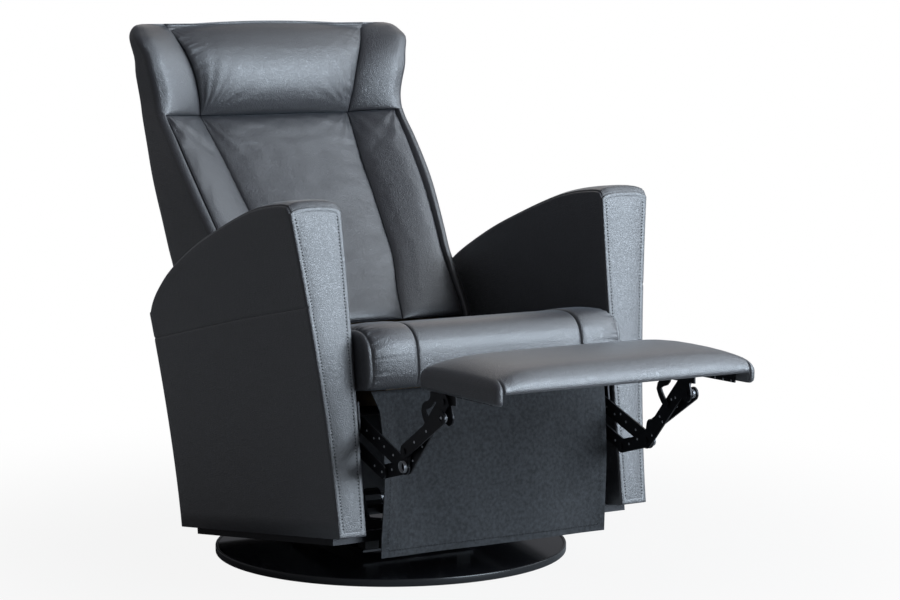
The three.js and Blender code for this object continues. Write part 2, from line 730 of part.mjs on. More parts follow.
// The cushion's side view from the front underside over the roll to the rear, as shares of its
// depth and height.
const seatProfileShares = [
  [0.045, 0], [0.012, 0.13], [0, 0.4], [0.008, 0.66], [0.035, 0.86], [0.085, 0.97], [0.16, 1],
  [0.32, 0.975], [0.5, 0.92], [0.7, 0.85], [0.9, 0.8], [0.975, 0.77], [1, 0.68], [1, 0.06],
  [0.985, 0], [0.7, 0], [0.35, 0],
];

function buildSeatCushion(group) {
  const seam = cushionSeamX;
  const flank = cushionSeamFlank;
  const half = cushionSideShares.map((share) => seatHalfWidth * share)
    .concat(seam + flank, seam, seam - flank, seam * cushionMidShare);
  const places = [...half.map((x) => -x), 0, ...half.reverse()];
  const rings = places.map((x) => {
    const off = Math.abs(x) / seatHalfWidth;
    const tuck = off ** cushionTuckPower;
    const dip = Math.abs(x) === seam ? cushionSeamDip : 0;
    const inset = Math.abs(x) === seatHalfWidth ? cushionEndInset : 0;
    return seatProfileShares.map(([run, rise]) => {
      const fromTop = rise * (cushionSideTuck * tuck + dip + inset);
      const fromNose = (1 - run) ** cushionNosePower * (cushionNoseTuck * tuck + dip * rise + inset);
      const up = rise === 0 ? inset : 0;
      return [x, seatNoseY + seatDepth * run + fromNose, seatUnder + seatRise * rise - fromTop + up];
    });
  });
  addPart(group, "seat_cushion", loft(rings), finish.leather);
}

// Apron: felt hanging from a clamp strip on the seat frame, in front of the rail.
const apronInset = 29;
const apronHalfWidth = seatHalfWidth - apronInset;
const apronThickness = 2.4;
const apronTopY = -396;
const apronTopZ = 312;
const apronSweep = 34;
const apronDrop = 288;
// Down the apron: how far it has swept back and how far it has dropped, as shares of the whole.
const apronShares = [[0, 0], [0, 0.076], [0.12, 0.292], [0.38, 0.562], [0.68, 0.771], [1, 1]];

function buildApron(group) {
  const curve = new THREE.SplineCurve(apronShares.map(([sweep, drop]) =>
    new THREE.Vector2(apronTopY + apronSweep * sweep, apronTopZ - apronDrop * drop)));
  const line = curve.getPoints(segments.pin);
  const back = line.map((p) => p.clone().add(new THREE.Vector2(apronThickness, 0)));
  const shape = new THREE.Shape([...line, ...back.reverse()]);
  addPart(group, "apron", sidePlate(shape, -apronHalfWidth, apronHalfWidth), finish.felt);
}

// Back: a hinged shell on a board, with a centre cushion, two bolsters, a head pillow and two
// wings on its front. Each table goes up the back: a height as a share of the back's height, then
// a place there as a share of its half width at the top or of its run from front to rear. The
// outer edge goes from the half width low down, 0, to that at the top, 1.
const backFoot = 430;
const shellFoot = 345;
const shellTop = 1030;
const wingReach = 44;
const backHalfTop = seatHalfWidth + wingReach;
const backLowInset = 12;
const backHalfLow = seatHalfWidth - backLowInset;
const backFrontY = 72;
const backRearY = 403;
const seamSlope = Math.tan(THREE.MathUtils.degToRad(recliningLean));
const seamPlane = (z) => backSeamFootY + seamSlope * (z - backSeamFootZ);
const atHeight = (share) => shellFoot + (backTop - shellFoot) * share;
const acrossBy = (table, z) => backHalfTop * along(table, (z - shellFoot) / (backTop - shellFoot));
const backBy = (table, z) =>
  backFrontY + (backRearY - backFrontY) * along(table, (z - shellFoot) / (backTop - shellFoot));
const shellFrontShares = [[0, 0], [0.737, 0.958], [0.77, 0.952], [0.806, 0.937], [0.856, 0.915],
  [0.908, 0.894], [0.986, 0.906]];
const shellRearShares = [[0, 0.78], [0.298, 0.925], [0.475, 0.955], [0.604, 0.99], [0.706, 1],
  [0.82, 1], [0.908, 0.978], [0.986, 0.95]];
const innerSeamShares = [[0.122, 0.301], [0.203, 0.347], [0.273, 0.402], [0.322, 0.428],
  [0.39, 0.448], [0.479, 0.47], [0.57, 0.49], [0.647, 0.513], [0.731, 0.54]];
const outerEdgeShares = [[0.3, 0], [0.364, 0.109], [0.425, 0.213], [0.514, 0.355], [0.6, 0.427],
  [0.737, 0.448], [0.784, 0.464], [0.824, 0.552], [0.865, 0.677], [0.904, 0.748], [0.948, 0.929],
  [1, 1]];
const outerEdge = (z) => backHalfLow
  + (backHalfTop - backHalfLow) * along(outerEdgeShares, (z - shellFoot) / (backTop - shellFoot));
const outerFrontShares = [[0.122, -0.051], [0.388, 0.266], [0.519, 0.429], [0.652, 0.616],
  [0.742, 0.743], [0.865, 0.734], [0.904, 0.74], [0.948, 0.773], [0.976, 0.834], [0.991, 0.876],
  [1, 0.918]];
const pillowEdgeShares = [[0.737, 0.543], [0.77, 0.553], [0.806, 0.568], [0.84, 0.585],
  [0.876, 0.608], [0.908, 0.634], [0.942, 0.663], [0.974, 0.689], [1, 0.726]];
const pillowFrontShares = [[0.737, 0.858], [0.77, 0.834], [0.806, 0.816], [0.856, 0.807],
  [0.908, 0.816], [0.942, 0.84], [0.974, 0.873], [0.991, 0.903], [1, 0.927]];
const shellHeightShares = [0, 0.122, 0.298, 0.388, 0.475, 0.604, 0.706, 0.737, 0.77, 0.806, 0.856,
  0.908, 0.942, 0.968];
const shellCornerShare = 0.4;
const topRearY = 386;
const backBoardThickness = 16;
const backBoardLength = 380;
const backBoardInset = 101;
const backBoardHalfWidth = backHalfTop - backBoardInset;
const backBoardStart = 60;
const hingePlateThickness = 2.5;
const hingePlateReach = 120;

const backAcrossShares = [-1, -0.94, -0.8, -0.55, -0.25, 0, 0.25, 0.55, 0.8, 0.94, 1];

// A ring at one height: across the front from right to left, then back along the rear.
function backRing(z, halfFront, front, rear, cornerShare = 0) {
  const ring = backAcrossShares.map((share) => [halfFront * share, front(share), z]);
  const corner = (rear - front(1)) * cornerShare;
  ring.push([halfFront, rear - corner, z], [halfFront - corner, rear, z]);
  ring.push([-halfFront + corner, rear, z], [-halfFront, rear - corner, z]);
  return ring;
}

function buildBackShell(group) {
  const heights = [...shellHeightShares.map(atHeight), shellTop];
  const rings = heights.map((z) => backRing(z, outerEdge(z) - touch,
    () => backBy(shellFrontShares, z), backBy(shellRearShares, z), shellCornerShare));
  const footY = backBy(shellFrontShares, shellFoot);
  const kneeHeight = atHeight(shellFrontShares[1][0]);
  const lean = Math.atan2(backBy(shellFrontShares, kneeHeight) - footY, kneeHeight - shellFoot);
  const start = shellFoot + backBoardStart;
  const recess = (grow) => {
    const board = block(-backBoardHalfWidth - grow, backBoardHalfWidth + grow, -grow * overrun * 2,
      backBoardThickness + grow, -grow, backBoardLength + grow);
    return board.rotateX(-lean).translate(0, backBy(shellFrontShares, start) + touch * 2, start);
  };
  addPart(group, "back_shell", cut(loft(rings), recess(touch)), finish.leather);
  addPart(group, "back_board", recess(0), finish.plywood);
}

const crownPower = 2.6;
const crownRootPower = 0.7;
const backCushionCrown = 15;
const bolsterCrown = 12;
const pillowCrown = 24;
const wingCrown = 9;
const endDrop = 8;
const bodyHeightShares = [0.122, 0.131, 0.158, 0.223, 0.309, 0.39, 0.479, 0.57, 0.647, 0.705, 0.728];
const bodyCrownShares = [0.3, 0.7, 0.95, 1, 1, 1, 1, 1, 0.95, 0.75, 0.5, 0.2];
const headHeightShares = [0.737, 0.744, 0.77, 0.806, 0.856, 0.908, 0.942, 0.968];
const headCrownShares = [0.1, 0.55, 0.85, 1, 1, 0.9, 0.75, 0.6, 0.5, 0.5, 0.4, 0.1];
const topRollShares = [0.1, 0.6, 1];

// The value of a rounded crown across a panel: 1 in the middle and 0 at both seams.
function crown(share) {
  return (1 - Math.abs(share) ** crownPower) ** crownRootPower;
}

// A ring of a side panel at one height, from its inner seam to its outer edge and back behind.
function sideRing(z, x0, x1, y0, y1, rear, rise) {
  const shares = [0, 0.08, 0.28, 0.5, 0.72, 0.9, 1];
  const ring = shares.map((share) => [x0 + (x1 - x0) * share,
    y0 + (y1 - y0) * share - rise * crown(share * 2 - 1), z]);
  ring.push([x1, rear, z], [(x0 + x1) / 2, rear, z], [x0, rear, z]);
  return ring;
}

function buildBackCushions(group) {
  const heights = [...bodyHeightShares.map(atHeight), pillowSeamZ - softGap];
  const cushion = heights.map((z, i) => backRing(z, acrossBy(innerSeamShares, z) - softGap,
    (share) => seamPlane(z) - backCushionCrown * crown(share) * bodyCrownShares[i]
      + (1 - bodyCrownShares[i]) * endDrop,
    backBy(shellFrontShares, z) - touch));
  addPart(group, "back_cushion", loft(cushion), finish.leather);
  const bolster = heights.map((z, i) => {
    const drop = (1 - bodyCrownShares[i]) * endDrop;
    return sideRing(z, acrossBy(innerSeamShares, z), outerEdge(z),
      seamPlane(z) + drop, backBy(outerFrontShares, z) + drop, backBy(shellFrontShares, z) - touch,
      bolsterCrown * bodyCrownShares[i]);
  });
  forBothSides(group, "bolster", loft(bolster), finish.leather);

  const rollFrom = shellTop + touch;
  const headHeights = [...headHeightShares.map(atHeight), rollFrom,
    ...topRollShares.map((share) => rollFrom + (backTop - rollFrom) * share)];
  const rear = (z) => (z > rollFrom ? topRearY : backBy(shellFrontShares, z)) - touch;
  const pillow = headHeights.map((z, i) => backRing(z, acrossBy(pillowEdgeShares, z) - softGap,
    (share) => backBy(pillowFrontShares, z) - pillowCrown * crown(share) * headCrownShares[i],
    rear(z)));
  addPart(group, "head_pillow", loft(pillow), finish.leather);
  const wing = headHeights.map((z, i) => sideRing(z, acrossBy(pillowEdgeShares, z),
    outerEdge(z), backBy(pillowFrontShares, z), backBy(outerFrontShares, z),
    rear(z), wingCrown * headCrownShares[i]));
  forBothSides(group, "wing", loft(wing), finish.leather);
}

function buildBackHinge(group) {
  const inner = layer.side - touch - hingePlateThickness - runFit;
  const outer = inner + hingePlateThickness;
  const top = backHinge.clone().add(new THREE.Vector2(hingePlateReach, hingePlateReach));
  const plate = joined(
    sidePlate(barShape(backHinge, top, hingeHalf), inner, outer),
    pin(backHinge, inner + touch, layer.side + steel));
  forBothSides(group, "back_hinge_plate", plate, finish.blackSteel);
}

buildSeat(level);
buildSeatCushion(level);
buildApron(level);
buildBackShell(level);
buildBackCushions(level);
buildBackHinge(level);

export default chair;
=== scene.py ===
import math

import bmesh
import bpy
from mathutils import Matrix, Vector, noise


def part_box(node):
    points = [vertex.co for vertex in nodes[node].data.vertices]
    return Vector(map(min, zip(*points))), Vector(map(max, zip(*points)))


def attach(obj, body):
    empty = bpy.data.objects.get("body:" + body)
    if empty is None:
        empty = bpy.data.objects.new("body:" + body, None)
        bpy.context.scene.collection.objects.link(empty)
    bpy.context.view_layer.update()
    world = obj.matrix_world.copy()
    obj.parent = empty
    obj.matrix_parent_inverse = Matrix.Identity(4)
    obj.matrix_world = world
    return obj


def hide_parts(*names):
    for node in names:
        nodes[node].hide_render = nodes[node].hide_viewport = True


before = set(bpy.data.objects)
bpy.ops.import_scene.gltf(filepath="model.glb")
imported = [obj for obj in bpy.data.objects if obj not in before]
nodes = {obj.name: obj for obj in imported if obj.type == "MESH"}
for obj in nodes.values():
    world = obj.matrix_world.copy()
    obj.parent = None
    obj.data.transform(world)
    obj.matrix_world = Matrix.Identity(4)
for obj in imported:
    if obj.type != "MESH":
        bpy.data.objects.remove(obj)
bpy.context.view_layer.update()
scene = bpy.context.scene


# The view: the chair is seen from its front and a little from the sitter's right, from about a
# metre above the floor and some five metres away.
camera_place = Vector((-2.4358, -4.2698, 1.0560))
camera_right = Vector((0.8571673, -0.51503807, 0.0))
camera_up = Vector((0.06089741, 0.10135031, 0.99298521))
camera_back = camera_right.cross(camera_up)
camera_lens = 106.10
camera_sensor = 36.0

camera = bpy.data.objects.new("camera", bpy.data.cameras.new("camera"))
scene.collection.objects.link(camera)
camera.data.lens = camera_lens
camera.data.sensor_width = camera_sensor
turn = Matrix((camera_right, camera_up, camera_back)).transposed().to_4x4()
camera.matrix_world = Matrix.Translation(camera_place) @ turn
scene.camera = camera
scene.view_settings.view_transform = "Standard"


# The studio: a plain pale floor that runs out of sight, a white surround for the camera, and
# soft lamps. A large cool one stands in front on the sitter's left, two weaker cool ones are at
# that side of the chair, and a warm one hangs behind.
floor_half = 12.0
floor_drop = 0.0005
floor_white = 0.30
floor_glow_near = 0.90
floor_glow_from = 0.45
floor_glow_to = 1.6
surround_level = 0.17
surround_cool = (0.90, 0.92, 1, 1)


def lamp(name, place, target, size, power, colour):
    """A soft rectangular lamp that the camera doesn't see."""
    light = bpy.data.lights.new(name, "AREA")
    light.shape = "RECTANGLE"
    light.size, light.size_y = size
    light.energy = power
    light.color = colour
    holder = bpy.data.objects.new(name, light)
    scene.collection.objects.link(holder)
    holder.location = place
    holder.visible_camera = False
    aim = Vector(target) - Vector(place)
    holder.rotation_euler = aim.to_track_quat("-Z", "Y").to_euler()


def node_adder(material):
    """Empties the nodes, and gives a call that adds a node. What comes first in the call feeds the
    node's inputs in order, and what has a name is a setting or, with _ for a space, an input."""
    material.use_nodes = True
    tree = material.node_tree
    tree.nodes.clear()

    def feed(source, target):
        if isinstance(source, bpy.types.Node):
            source = next(socket for socket in source.outputs if socket.enabled)
        tree.links.new(source, target)

    def add(kind, *feeds, **values):
        node = tree.nodes.new(kind)
        for key, value in values.items():
            if isinstance(value, (bpy.types.Node, bpy.types.NodeSocket)):
                feed(value, node.inputs[key.replace("_", " ")])
            elif hasattr(node, key):
                setattr(node, key, value)
            else:
                node.inputs[key.replace("_", " ")].default_value = value
        for source, target in zip(feeds, node.inputs):
            feed(source, target)
        return node

    return add


def object_coordinates(add):
    return add("ShaderNodeTexCoord").outputs["Object"]


def make_floor():
    """White far off, and a little less near the chair, where the chair's shadow shows."""
    select_none()
    bpy.ops.mesh.primitive_plane_add(size=floor_half * 2, location=(0, 0, -floor_drop))
    floor = bpy.context.object
    floor.name = "floor"
    material = bpy.data.materials.new("pale_floor")
    add = node_adder(material)
    away = add("ShaderNodeVectorMath", object_coordinates(add), operation="LENGTH")
    spread = add("ShaderNodeMapRange", away, interpolation_type="SMOOTHSTEP",
                 From_Min=floor_glow_from, From_Max=floor_glow_to, To_Min=floor_glow_near, To_Max=1.0)
    to_camera = add("ShaderNodeLightPath").outputs["Is Camera Ray"]
    share = add("ShaderNodeMath", to_camera, spread, operation="MULTIPLY")
    shade = add("ShaderNodeBsdfDiffuse", Color=(floor_white, floor_white, floor_white, 1))
    glow = add("ShaderNodeEmission", Strength=1.0)
    mix = add("ShaderNodeMixShader", share, shade, glow)
    add("ShaderNodeOutputMaterial", mix)
    floor.data.materials.append(material)


def make_surround():
    """White to the camera, and a dim cool room to all that shines."""
    world = bpy.data.worlds.new("studio")
    scene.world = world
    add = node_adder(world)
    to_camera = add("ShaderNodeLightPath").outputs["Is Camera Ray"]
    room_light = add("ShaderNodeBackground", Color=surround_cool, Strength=surround_level)
    seen = add("ShaderNodeBackground", Color=(1, 1, 1, 1), Strength=1.0)
    mix = add("ShaderNodeMixShader", to_camera, room_light, seen)
    add("ShaderNodeOutputWorld", mix)


def select_none():
    bpy.ops.object.select_all(action="DESELECT")


make_floor()
make_surround()
lamp("front_lamp", (1.95, -3.95, 1.75), (0, -0.2, 0.5), (2.8, 2.8), 308, (0.76, 0.88, 1))
lamp("left_lamp", (2.7, -0.5, 3.3), (0, 0.2, 0.7), (3.0, 3.0), 62, (0.84, 0.92, 1))
lamp("side_lamp", (3.0, -0.9, 1.5), (-0.2, 0.1, 0.75), (1.8, 1.6), 28, (0.80, 0.90, 1))
lamp("rear_lamp", (2.3, 3.4, 3.0), (0, 0, 0.5), (3.0, 1.8), 15, (1, 0.92, 0.84))


# Base: a steel disc in gloss black paint with a rolled rubber edge. The edge is turned finer
# here than in the frame, with both its corners rounded over.
gloss_black = (0.010, 0.010, 0.012, 1)
edge_wall = 0.005
edge_rounding = 0.002


def finish_material(name, colour, roughness, metallic, grain_scale, grain_height, spread,
                    specular=0.5):
    """A hard finish: one colour with a fine grain in its bump and a slow drift in its roughness."""
    material = bpy.data.materials.new(name)
    add = node_adder(material)
    place = object_coordinates(add)
    drift = add("ShaderNodeTexNoise", place, Scale=14.0, Detail=3.0)
    span = add("ShaderNodeMapRange", drift, To_Min=roughness - spread, To_Max=roughness + spread)
    grain = add("ShaderNodeTexNoise", place, Scale=grain_scale, Detail=2.0)
    bump = add("ShaderNodeBump", Strength=0.4, Distance=grain_height, Height=grain)
    surface = add("ShaderNodeBsdfPrincipled", Base_Color=colour, Metallic=metallic, Roughness=span,
                  Specular_IOR_Level=specular, Normal=bump)
    add("ShaderNodeOutputMaterial", surface)
    return material


def paint(material, *names):
    """Gives CAD nodes a finish."""
    for name in names:
        nodes[name].material_slots[0].material = material


sides = (("left", 1), ("right", -1))


def both(*names):
    return [f"{name}_{side}" for name in names for side, _ in sides]


# Each finish: colour, roughness, metal, the grain's scale and height, and the drift's spread.
disc_paint = finish_material("disc_paint", gloss_black, 0.13, 0.0, 90.0, 0.0002, 0.04, 0.32)
edge_rubber = finish_material("edge_rubber", (0.016, 0.016, 0.017, 1), 0.24, 0.0, 700.0, 0.0001, 0.05)
black_steel = finish_material("black_steel", (0.012, 0.012, 0.014, 1), 0.38, 0.55, 800.0, 0.0001, 0.08)
bright_steel = finish_material("bright_steel", (0.50, 0.51, 0.53, 1), 0.34, 1.0, 600.0, 0.0001, 0.08)
stop_rubber = finish_material("stop_rubber", (0.020, 0.020, 0.020, 1), 0.75, 0.0, 500.0, 0.0002, 0.05)

paint(disc_paint, "base_disc")
paint(bright_steel, "swivel_lower_race", "swivel_ball_ring", "rocker_shaft")
paint(black_steel, "swivel_plate", *both("rocker_stand", "rocker_spring"))
paint(stop_rubber, *both("rear_stop", "front_stop"))


def make_edge_trim():
    low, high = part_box("base_edge_trim")
    select_none()
    bpy.ops.mesh.primitive_cylinder_add(
        vertices=160, radius=high.x, depth=high.z - low.z, end_fill_type="NOTHING",
        location=(0, 0, (low.z + high.z) / 2))
    trim = bpy.context.object
    trim.name = "base_edge"
    bpy.ops.object.transform_apply(location=True, rotation=True, scale=True)
    bpy.ops.object.mode_set(mode="EDIT")
    bpy.ops.mesh.select_all(action="SELECT")
    bpy.ops.mesh.normals_make_consistent(inside=False)
    bpy.ops.mesh.solidify(thickness=edge_wall)
    bpy.ops.mesh.select_all(action="SELECT")
    bpy.ops.mesh.normals_make_consistent(inside=False)
    bpy.ops.object.mode_set(mode="OBJECT")
    bevel = trim.modifiers.new("rounded_corners", "BEVEL")
    bevel.width = edge_rounding
    bevel.segments = 3
    bevel.limit_method = "ANGLE"
    bevel.angle_limit = math.radians(60)
    bpy.ops.object.modifier_apply(modifier=bevel.name)
    bpy.ops.object.shade_smooth_by_angle(angle=math.radians(40))
    trim.data.materials.append(edge_rubber)
    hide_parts("base_edge_trim")
    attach(trim, "base")


make_edge_trim()


# Steel chassis and seat frame: black painted rails and plates that stay as the frame has them,
# with plated runners and springs, and plywood boards whose colour is darkened as painted shade
# for the boards seen in the shadow under the seat.
# Painted shade: both plywood colours are darker than bare wood, to stand in for the shade under the
# seat.
shaded_board_pale = (0.15, 0.105, 0.062, 1)
shaded_board_dark = (0.085, 0.057, 0.034, 1)
board_grain = (60, 6, 60)


def two_tone(add, source, dark, dark_to, pale, pale_from):
    """A ramp fed by the source, dark up to one place and pale from the other."""
    colours = add("ShaderNodeValToRGB", source)
    first, last = colours.color_ramp.elements
    first.color, first.position = dark, dark_to
    last.color, last.position = pale, pale_from
    return colours


def plywood_material():
    material = bpy.data.materials.new("plywood")
    add = node_adder(material)
    stretched = add("ShaderNodeMapping", object_coordinates(add), Scale=board_grain)
    grain = add("ShaderNodeTexNoise", stretched, Scale=1.0, Detail=5.0, Roughness=0.6)
    bump = add("ShaderNodeBump", Strength=0.3, Distance=0.0004, Height=grain)
    colours = two_tone(add, grain, shaded_board_dark, 0.3, shaded_board_pale, 0.62)
    surface = add("ShaderNodeBsdfPrincipled", Base_Color=colours, Roughness=0.7, Normal=bump)
    add("ShaderNodeOutputMaterial", surface)
    return material


plywood = plywood_material()
paint(black_steel, "front_cross_rail", "rear_cross_rail", "front_torsion_tube", "rear_torsion_tube",
      *both("rocker_beam", "side_rail", "slide_block", "mechanism_plate", "back_hinge_plate"),
      *both("seat_link", "rear_link", "long_link", "front_link", "footrest_bracket"))
paint(bright_steel, "seat_spring_1", "seat_spring_2", "seat_spring_3", *both("seat_runner"))
paint(plywood, "seat_frame", "back_board", "footrest_board", *both("arm_board"))


# Leather: top-grain hide, dyed black. Fine pebbled grain, slow changes of sheen, and a surface
# that shines cool where light falls flat on it.
hide_deep = (0.0135, 0.0128, 0.0160, 1)
hide_worn = (0.0240, 0.0230, 0.0270, 1)
hide_sheen = (0.72, 0.80, 0.90, 1)


def leather_material():
    material = bpy.data.materials.new("black_leather")
    add = node_adder(material)
    place = object_coordinates(add)
    wrinkle = add("ShaderNodeTexNoise", place, Scale=120.0, Detail=5.0, Roughness=0.65)
    soft = add("ShaderNodeBump", Strength=0.6, Distance=0.0016, Height=wrinkle)
    pebble = add("ShaderNodeTexVoronoi", place, feature="DISTANCE_TO_EDGE", Scale=350.0)
    pebble_top = add("ShaderNodeMapRange", pebble, From_Max=0.25)
    fine = add("ShaderNodeBump", Strength=0.6, Distance=0.0006, Height=pebble_top, Normal=soft)
    pore = add("ShaderNodeTexNoise", place, Scale=1400.0, Detail=2.0)
    dots = add("ShaderNodeBump", Strength=0.25, Distance=0.00015, Height=pore, Normal=fine)
    drift = add("ShaderNodeTexNoise", place, Scale=5.0, Detail=4.0)
    blend = add("ShaderNodeMix", data_type="RGBA", Factor=drift, A=hide_deep, B=hide_worn)
    sheen_span = add("ShaderNodeMapRange", drift, From_Min=0.3, From_Max=0.7, To_Min=0.35, To_Max=0.44)
    surface = add("ShaderNodeBsdfPrincipled", Base_Color=blend, Roughness=sheen_span, Normal=dots,
                  Specular_IOR_Level=1.0, Coat_Weight=0.8, Coat_Roughness=0.42, Coat_IOR=1.5,
                  Sheen_Weight=0.10, Sheen_Roughness=0.40, Sheen_Tint=hide_sheen)
    add("ShaderNodeOutputMaterial", surface)
    return material


leather = leather_material()
# Stitch thread: real thread, and its near-black colour is also painted shade for the needle holes
# between the stitches.
thread_and_hole_shade = finish_material("thread_and_hole_shade", (0.010, 0.010, 0.011, 1), 0.6, 0.0, 2000.0, 0.0001, 0.05)

# The covered pieces are drawn in millimetres in the level chair, and then rocked back with it.
rock_back = math.radians(8)
rock_height = 100


def chair_point(x, y, z):
    cosine, sine = math.cos(rock_back), math.sin(rock_back)
    up = z - rock_height
    return Vector((x, y * cosine + up * sine, rock_height - y * sine + up * cosine)) / 1000


def smooth_at(stations, place):
    """The value at a place on a smooth line through the stations, and level past its ends."""
    if place <= stations[0][0]:
        return stations[0][1]
    if place >= stations[-1][0]:
        return stations[-1][1]
    k = next(i for i in range(1, len(stations)) if place <= stations[i][0])

    def slope(i):
        before, after = stations[max(i - 1, 0)], stations[min(i + 1, len(stations) - 1)]
        return (after[1] - before[1]) / (after[0] - before[0])

    (x0, y0), (x1, y1) = stations[k - 1], stations[k]
    run = x1 - x0
    t = (place - x0) / run
    return (y0 * (1 + 2 * t) * (1 - t) ** 2 + y1 * t * t * (3 - 2 * t)
            + run * (slope(k - 1) * t * (1 - t) ** 2 - slope(k) * t * t * (1 - t)))


def skin(name, rings, body, *replaced, fill=0.8):
    """A closed padded piece through rings of level points, covered in leather."""
    count = len(rings[0])
    mesh = bpy.data.meshes.new(name)
    points = [chair_point(*p) for ring in rings for p in ring]
    faces = []
    for i in range(len(rings) - 1):
        for j in range(count):
            a, b = i * count + j, i * count + (j + 1) % count
            faces.append((a, b, b + count, a + count))
    faces.append(tuple(reversed(range(count))))
    last = (len(rings) - 1) * count
    faces.append(tuple(range(last, last + count)))
    mesh.from_pydata(points, [], faces)
    shaped = bmesh.new()
    shaped.from_mesh(mesh)
    bmesh.ops.triangulate(shaped, faces=[f for f in shaped.faces if len(f.verts) > 4])
    bmesh.ops.recalc_face_normals(shaped, faces=shaped.faces)
    shaped.to_mesh(mesh)
    shaped.free()
    piece = bpy.data.objects.new(name, mesh)
    scene.collection.objects.link(piece)
    for face in mesh.polygons:
        face.use_smooth = True
    mesh.materials.append(leather)
    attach(piece, body)
    if replaced:
        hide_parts(*replaced)
    return piece


def mirror_x(rings):
    return [[(-x, y, z) for x, y, z in ring] for ring in rings]


def lerp(a, b, share):
    return a + (b - a) * share


# How a seam pulls the leather in: the distance from the seam, and the share of its depth there.
seam_line = [(0, 1), (0.9, 0.72), (1.8, 0.36), (3.2, 0.14), (5.5, 0.04), (9, 0)]
seam_offsets = [offset for offset, _ in seam_line]


def crown(share, sharpness, root):
    """The swell of padding across a panel: 1 in the middle and 0 at both seams."""
    return max(0.0, 1 - abs(share) ** sharpness) ** root


def fan(x, z, corner, folds, depth, reach):
    """Folds that spread from a corner where two seams meet, and die out away from it."""
    dx, dz = x - corner[0], z - corner[1]
    away = math.hypot(dx, dz)
    turned = folds * math.atan2(dz, dx) + 0.6 * ripple(x, z, 60, folds)
    return depth * math.sin(turned) * math.exp(-away / reach) * away / (away + 12)


def ripple(x, z, size, seed):
    return noise.noise(Vector((x / size, z / size, seed)))


def share_near(place, centre, reach):
    return math.exp(-((place - centre) / reach) ** 2)


# For the back's covers: steps of settling, how far a point may move, and the rings held at each end.
settle_steps = 18
settle_reach = 0.6
settle_margin = 6
cloth_settings = {
    "quality": 6, "mass": 0.4, "tension_stiffness": 40, "compression_stiffness": 30,
    "shear_stiffness": 12, "bending_stiffness": 0.6, "air_damping": 3, "vertex_group_mass": "sewn",
    "use_pressure": True, "shrink_min": -0.004}


def settle(piece, rings, places, margin, pressure):
    """Lets a sewn cover swell and crease as cloth. Only its face is loose, and not beside its
    seams, and no point moves further than the reach, in millimetres."""
    mesh = piece.data
    count = len(rings[0])
    rows = range(settle_margin, len(rings) - settle_margin)
    columns = range(margin, len(places) - margin)
    held = [i for i in range(len(mesh.vertices)) if i // count not in rows or i % count not in columns]
    piece.vertex_groups.new(name="sewn").add(held, 1.0, "REPLACE")
    cloth = piece.modifiers.new("cloth", "CLOTH")
    for key, value in cloth_settings.items():
        setattr(cloth.settings, key, value)
    cloth.settings.uniform_pressure_force = pressure
    cloth.settings.effector_weights.gravity = 0
    cloth.collision_settings.use_collision = False
    cloth.point_cache.frame_end = settle_steps
    for step in range(1, settle_steps + 1):
        scene.frame_set(step)
    settled = piece.evaluated_get(bpy.context.evaluated_depsgraph_get())
    moved = [v.co.copy() for v in settled.data.vertices]
    piece.modifiers.remove(cloth)
    piece.vertex_groups.clear()
    for v, place in zip(mesh.vertices, moved):
        move = place - v.co
        v.co += move * min(1, settle_reach / 1000 / max(move.length, 1e-9))
    scene.frame_set(1)


def arc(cx, cy, radius, start, end, count):
    """Points round a corner, without the first and the last."""
    return [(cx + radius * math.cos(math.radians(lerp(start, end, i / count))),
             cy + radius * math.sin(math.radians(lerp(start, end, i / count))))
            for i in range(1, count)]


# Arms: foam over a board on each side, covered in leather. The outer side is two panels with a
# seam between them. The top panel is sewn to both sides, and the front panel is stitched down
# both of its long edges.
arm_front = -380
arm_bottom = 66
arm_top = 644
arm_rear = 270
# For places along the arm's top: its height, the place of the foot below, and the seam's height.
arm_top_line = [(-380, 629), (-377.5, 634), (-372, 638), (-360, 641), (-338, 643.2), (-290, 644),
                (-235, 641), (-160, 630), (-80, 615), (0, 598), (75, 577), (146, 553), (200, 527),
                (240, 501), (270, 468)]
arm_foot_line = [(-380, -380), (75, 75), (146, 130), (200, 185), (240, 228), (270, 262)]
arm_seam_line = [(-380, 463), (-100, 450), (262, 427)]
arm_side_seam = 1.7
arm_top_seam = 2.6
arm_corner = 8
arm_crown = 5
# Each side leans out from its foot to its top.
arm_outer_foot = 319
arm_outer_lean = 53
arm_inner_foot = 264
arm_inner_lean = 5
arm_rear_round = 12
arm_stitch_inset = 9.6
arm_stitch_margin = 14


def arm_rise(z):
    return max(0.0, (z - arm_bottom) / (arm_top - arm_bottom))


def arm_outer(z):
    return arm_outer_foot + arm_outer_lean * arm_rise(z) ** 1.6


def arm_inner(z):
    return arm_inner_foot + arm_inner_lean * arm_rise(z) ** 4


def arm_side(across, z_from, z_to, seam_from, seam_to, count):
    """One side panel, from one height to the next. A seam at either end has finer points that
    sink, and across gives the place of each point from its height and its sink."""
    length = max(abs(z_to - z_from), 0.001)
    start, end = [(0, 0)], [(length, 0)]
    if seam_from:
        start = [(d, seam_from * share) for d, share in seam_line]
    if seam_to:
        end = [(length - d, seam_to * share) for d, share in reversed(seam_line)]
    first, last = start[-1][0], end[0][0]
    middle = [(lerp(first, last, i / count), 0) for i in range(1, count)]
    points = [(lerp(z_from, z_to, d / length), sink) for d, sink in start + middle + end]
    return [(across(z, sink), z) for z, sink in points]


def seamed_corner(cx, cz, radius, start, end):
    """A top corner of the arm, with the seam of the top panel sunk in the middle of its turn."""
    points = []
    for turned in (0, 0.13, 0.25, 0.34, 0.41, 0.46, 0.5, 0.54, 0.59, 0.66, 0.75, 0.87, 1):
        off = abs(turned - 0.5) * math.pi / 2 * arm_corner
        sink = arm_top_seam * max(0, 1 - (arm_corner - radius) / 3)
        reach = radius - sink * smooth_at(seam_line, off)
        at = math.radians(lerp(start, end, turned))
        points.append((cx + reach * math.cos(at), cz + reach * math.sin(at)))
    return points


